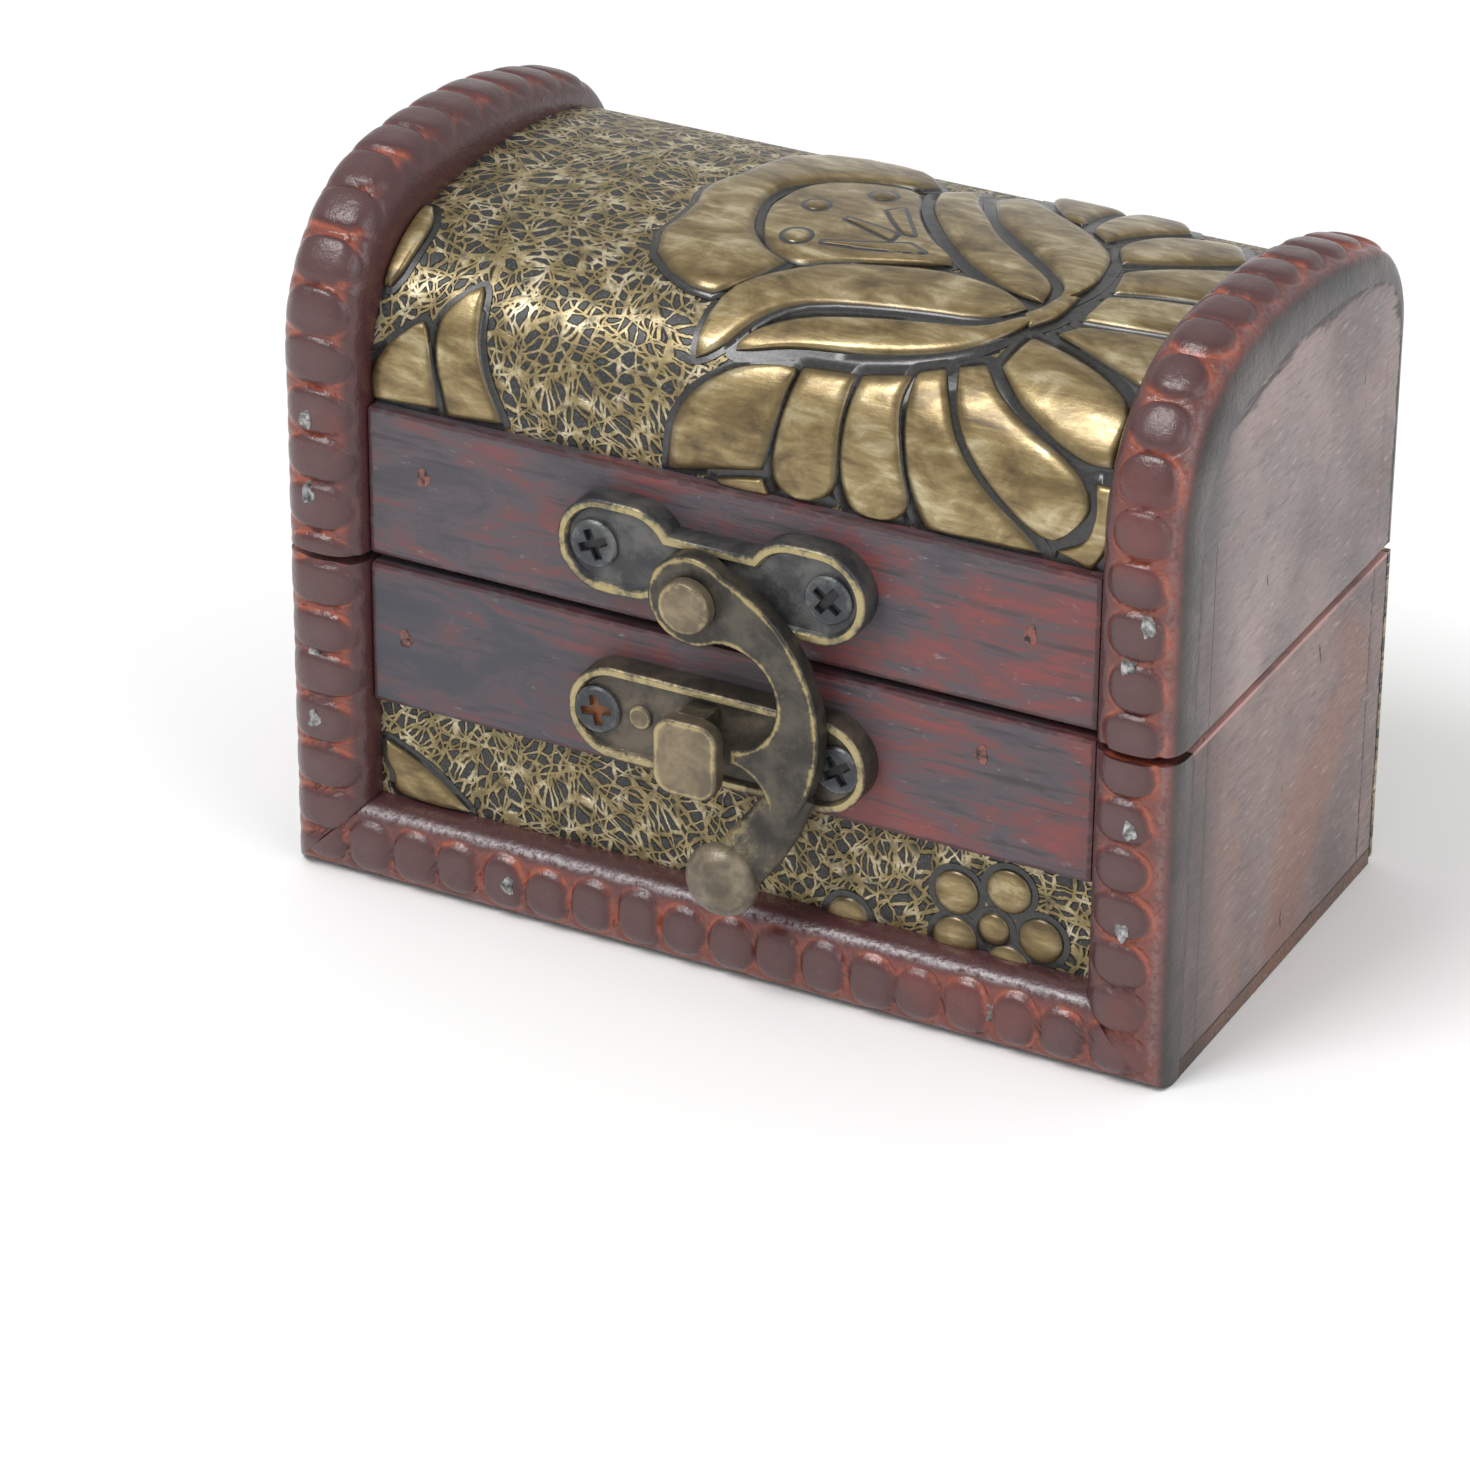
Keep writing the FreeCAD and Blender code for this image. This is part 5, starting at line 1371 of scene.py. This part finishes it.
WEAR_START, WEAR_REACH = 4.5, 5.0
arm_rim = swing_arm.verts.layers.float["rim"]
for vert in swing_arm.verts:
    vert[arm_rim] *= min(max((vert.co.z / MM - KNOB_Z - WEAR_START) / WEAR_REACH, 0.0), 1.0)
hasp_piece(swing_arm, "swing_arm", "hasp_arm", arm_grey, "hasp_swing_arm")

KNOB_RADIUS, KNOB_DEPTH = 3.2, 1.9
KNOB_WEAR = 0.3
TAIL_WEAR, TAIL_HIGHLIGHT = 0.12, 0.45
TAIL_CREASE = 60
knob_y = ARM_LOW.y / MM + KNOB_DEPTH
arm_middle = (ARM_BACK + ARM_FACE) / 2 / MM
TAIL_STATIONS = (
    (KNOB_X + 5.7, arm_middle, KNOB_Z + 8.4, 1.5, 0.6),
    (KNOB_X + 4.0, arm_middle - 0.05, KNOB_Z + 5.7, 2.2, 0.85),
    (KNOB_X + 2.5, arm_middle - 0.55, KNOB_Z + 3.3, 2.4, 1.2),
    (KNOB_X + 1.2, knob_y + 0.8, KNOB_Z + 1.5, 2.4, 1.45),
    (KNOB_X, knob_y + 0.1, KNOB_Z + 0.2, 2.2, 1.4),
)
tail, tail_wear_and_highlight, *_ = hasp_mesh()
loops = []
for number, (x, y, z, reach, depth) in enumerate(TAIL_STATIONS):
    before = Vector(TAIL_STATIONS[max(number - 1, 0)][:3])
    after = Vector(TAIL_STATIONS[min(number + 1, len(TAIL_STATIONS) - 1)][:3])
    ahead = (after - before).normalized()
    side = ahead.cross((0.0, 1.0, 0.0)).normalized()
    turned = Matrix((side, ahead.cross(side), ahead)).transposed().to_4x4()
    spot = Matrix.Translation(Vector((x, y, z)) * MM) @ turned @ Matrix.Diagonal((reach, depth, 1.0, 1.0))
    ring = bmesh.ops.create_circle(tail, radius=MM, segments=ROUND_STEPS, matrix=spot)["verts"]
    # Wear grows towards the knob; the inner edge of each ring takes a painted highlight in the rim's yellow.
    for vert in ring:
        inner = max((spot.translation - vert.co).dot(side) / (reach * MM), 0.0)
        vert[tail_wear_and_highlight] = TAIL_WEAR * number + TAIL_HIGHLIGHT * inner ** 3
    loops.append(list(dict.fromkeys(edge for vert in ring for edge in vert.link_edges)))
for one, other in zip(loops, loops[1:]):
    bmesh.ops.bridge_loops(tail, edges=one + other)
close_up(tail)
set_piece(tail, "swing_arm_tail", "hasp_arm", "antique_bronze", arm_grey, crease=TAIL_CREASE)

knob, knob_rim, *_ = hasp_mesh()
bmesh.ops.create_uvsphere(knob, u_segments=36, v_segments=20, radius=1.0)
for vert in knob.verts:
    vert[knob_rim] = KNOB_WEAR * max(vert.co.z, 0.0)
bmesh.ops.transform(knob, matrix=FACE_FRONT, verts=knob.verts)
bmesh.ops.scale(knob, vec=Vector((KNOB_RADIUS, KNOB_DEPTH, KNOB_RADIUS)) * MM, verts=knob.verts)
bmesh.ops.translate(knob, vec=Vector((KNOB_X, knob_y, KNOB_Z)) * MM, verts=knob.verts)
hasp_piece(knob, "swing_arm_knob", "hasp_arm", knob_bronze)

RIVET_REACH = (RIVET_HIGH.x - RIVET_LOW.x) / 2
RIVET_TALL = 1.2 * MM
RIVET_STEPS = 32
CREST_WEAR, FLAT_WEAR = 0.8, 0.2
RIVET_PROFILE = (
    (0.0, 0.97), (0.74, 0.97), (0.84, 1.0), (0.94, 0.92), (1.0, 0.7), (1.0, 0.0), (0.5, 0.0), (0.5, -2.0),
    (0.0, -2.0),
)
rivet, *_ = hasp_mesh()
profile = [(reach * RIVET_REACH, height * RIVET_TALL) for reach, height in RIVET_PROFILE]
worn = [CREST_WEAR if reach > 0.8 and height > 0.9 else FLAT_WEAR for reach, height in RIVET_PROFILE]
spun(rivet, profile, "rim", worn, RIVET_STEPS, CUT_SLACK * MM)
stand = Matrix.Translation((RIVET_X * MM, RIVET_LOW.y + RIVET_TALL, RIVET_Z * MM))
bmesh.ops.transform(rivet, matrix=stand @ FACE_FRONT, verts=rivet.verts)
hasp_piece(rivet, "pivot_rivet", "lid", hasp_bronze, "hasp_pivot_rivet")


# Hinges. Two thin brass butt hinges on the back, each two leaves and a pin, nailed with small brass nails.
# The CAD leaves, pins and nails are the right shape, so they stay and take a dull brass finish.
def dull_brass(name):
    """Dull yellow brass with brown tarnish and fine rolling marks."""
    finish, shader, place = new_finish(name)
    rolled = grain(stretched(place, (0.05, 1.0, 1.0)), 3800, 4, 0.6)
    tarnish = grain(place, 700, 5, 0.6, 0.4)
    colour = tones(tarnish, (0.32, 92, 72, 44), (0.5, 158, 130, 78), (0.7, 196, 168, 108))
    coat(shader, colour, between(tarnish, 0.3, 0.7, 0.52, 0.32), rolled, 0.03 * MM, Metallic=0.85)
    return finish


hinge_finish = dull_brass("hinge_finish")
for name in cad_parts:
    if "hinge" in name:
        stain_node(name, hinge_finish)


# Studio. A plain white floor, a large soft key from the upper left, and an even white surround.
# The camera has the angles, distance in mm and lens that were fitted to the box's corners in the photo.
FLOOR_SIZE = 3.0
floor_mesh = bmesh.new()
bmesh.ops.create_grid(floor_mesh, x_segments=1, y_segments=1, size=FLOOR_SIZE / 2)
floor_data = bpy.data.meshes.new("studio_floor")
floor_mesh.to_mesh(floor_data)
floor_mesh.free()
studio_floor = bpy.data.objects.new("studio_floor", floor_data)
bpy.context.scene.collection.objects.link(studio_floor)
floor_finish, floor_shader, _ = new_finish("studio_white")
plug(floor_shader, {"Base Color": paint(252, 252, 252), "Roughness": 0.9})
floor_data.materials.append(floor_finish)

surround = bpy.data.worlds.new("surround")
surround.use_nodes = True
bpy.context.scene.world = surround
sky = surround.node_tree.nodes["Background"]
plug(sky, {"Color": (1.0, 1.0, 1.0, 1.0), "Strength": 0.68})


def soft_lamp(name, place, target, width, power):
    """A square soft box that faces a point."""
    lamp = bpy.data.lights.new(name, "AREA")
    lamp.size = width
    lamp.energy = power
    made = bpy.data.objects.new(name, lamp)
    made.location = place
    made.rotation_euler = (Vector(target) - Vector(place)).to_track_quat("-Z", "Y").to_euler()
    bpy.context.scene.collection.objects.link(made)


CHEST_MIDDLE = (0.0, 0.0, 0.03)
soft_lamp("key", (-0.45, -0.9, 1.4), CHEST_MIDDLE, width=0.6, power=15.0)
soft_lamp("fill", (1.3, -0.5, 0.7), CHEST_MIDDLE, width=0.9, power=5.0)

AZIMUTH, ELEVATION, ROLL = 27.4603, 28.4138, 0.3881
CAMERA_DISTANCE = 523.351
TARGET_RIGHT, TARGET_UP = -8.1713, 10.6490
PHOTO_WIDTH, FOCAL_PIXELS = 1470.0, 6214.863
SENSOR = 36.0
turn, tilt, roll = (math.radians(a) for a in (AZIMUTH, ELEVATION, ROLL))
backward = Vector((math.sin(turn) * math.cos(tilt), -math.cos(turn) * math.cos(tilt), math.sin(tilt)))
rightward = Vector((math.cos(turn), math.sin(turn), 0.0))
upward = backward.cross(rightward)
eye = (rightward * TARGET_RIGHT + upward * TARGET_UP + backward * CAMERA_DISTANCE) * MM
rolled_right = rightward * math.cos(roll) + upward * math.sin(roll)
rolled_up = upward * math.cos(roll) - rightward * math.sin(roll)
lens = bpy.data.cameras.new("photo_camera")
lens.sensor_width = SENSOR
lens.lens = FOCAL_PIXELS * SENSOR / PHOTO_WIDTH
lens.clip_start = 0.01
lens.clip_end = 20.0
camera = bpy.data.objects.new("photo_camera", lens)
bpy.context.scene.collection.objects.link(camera)
facing = Matrix((rolled_right, rolled_up, backward)).transposed().to_4x4()
camera.matrix_world = Matrix.Translation(eye) @ facing
bpy.context.scene.camera = camera
bpy.context.scene.view_settings.view_transform = "Standard"
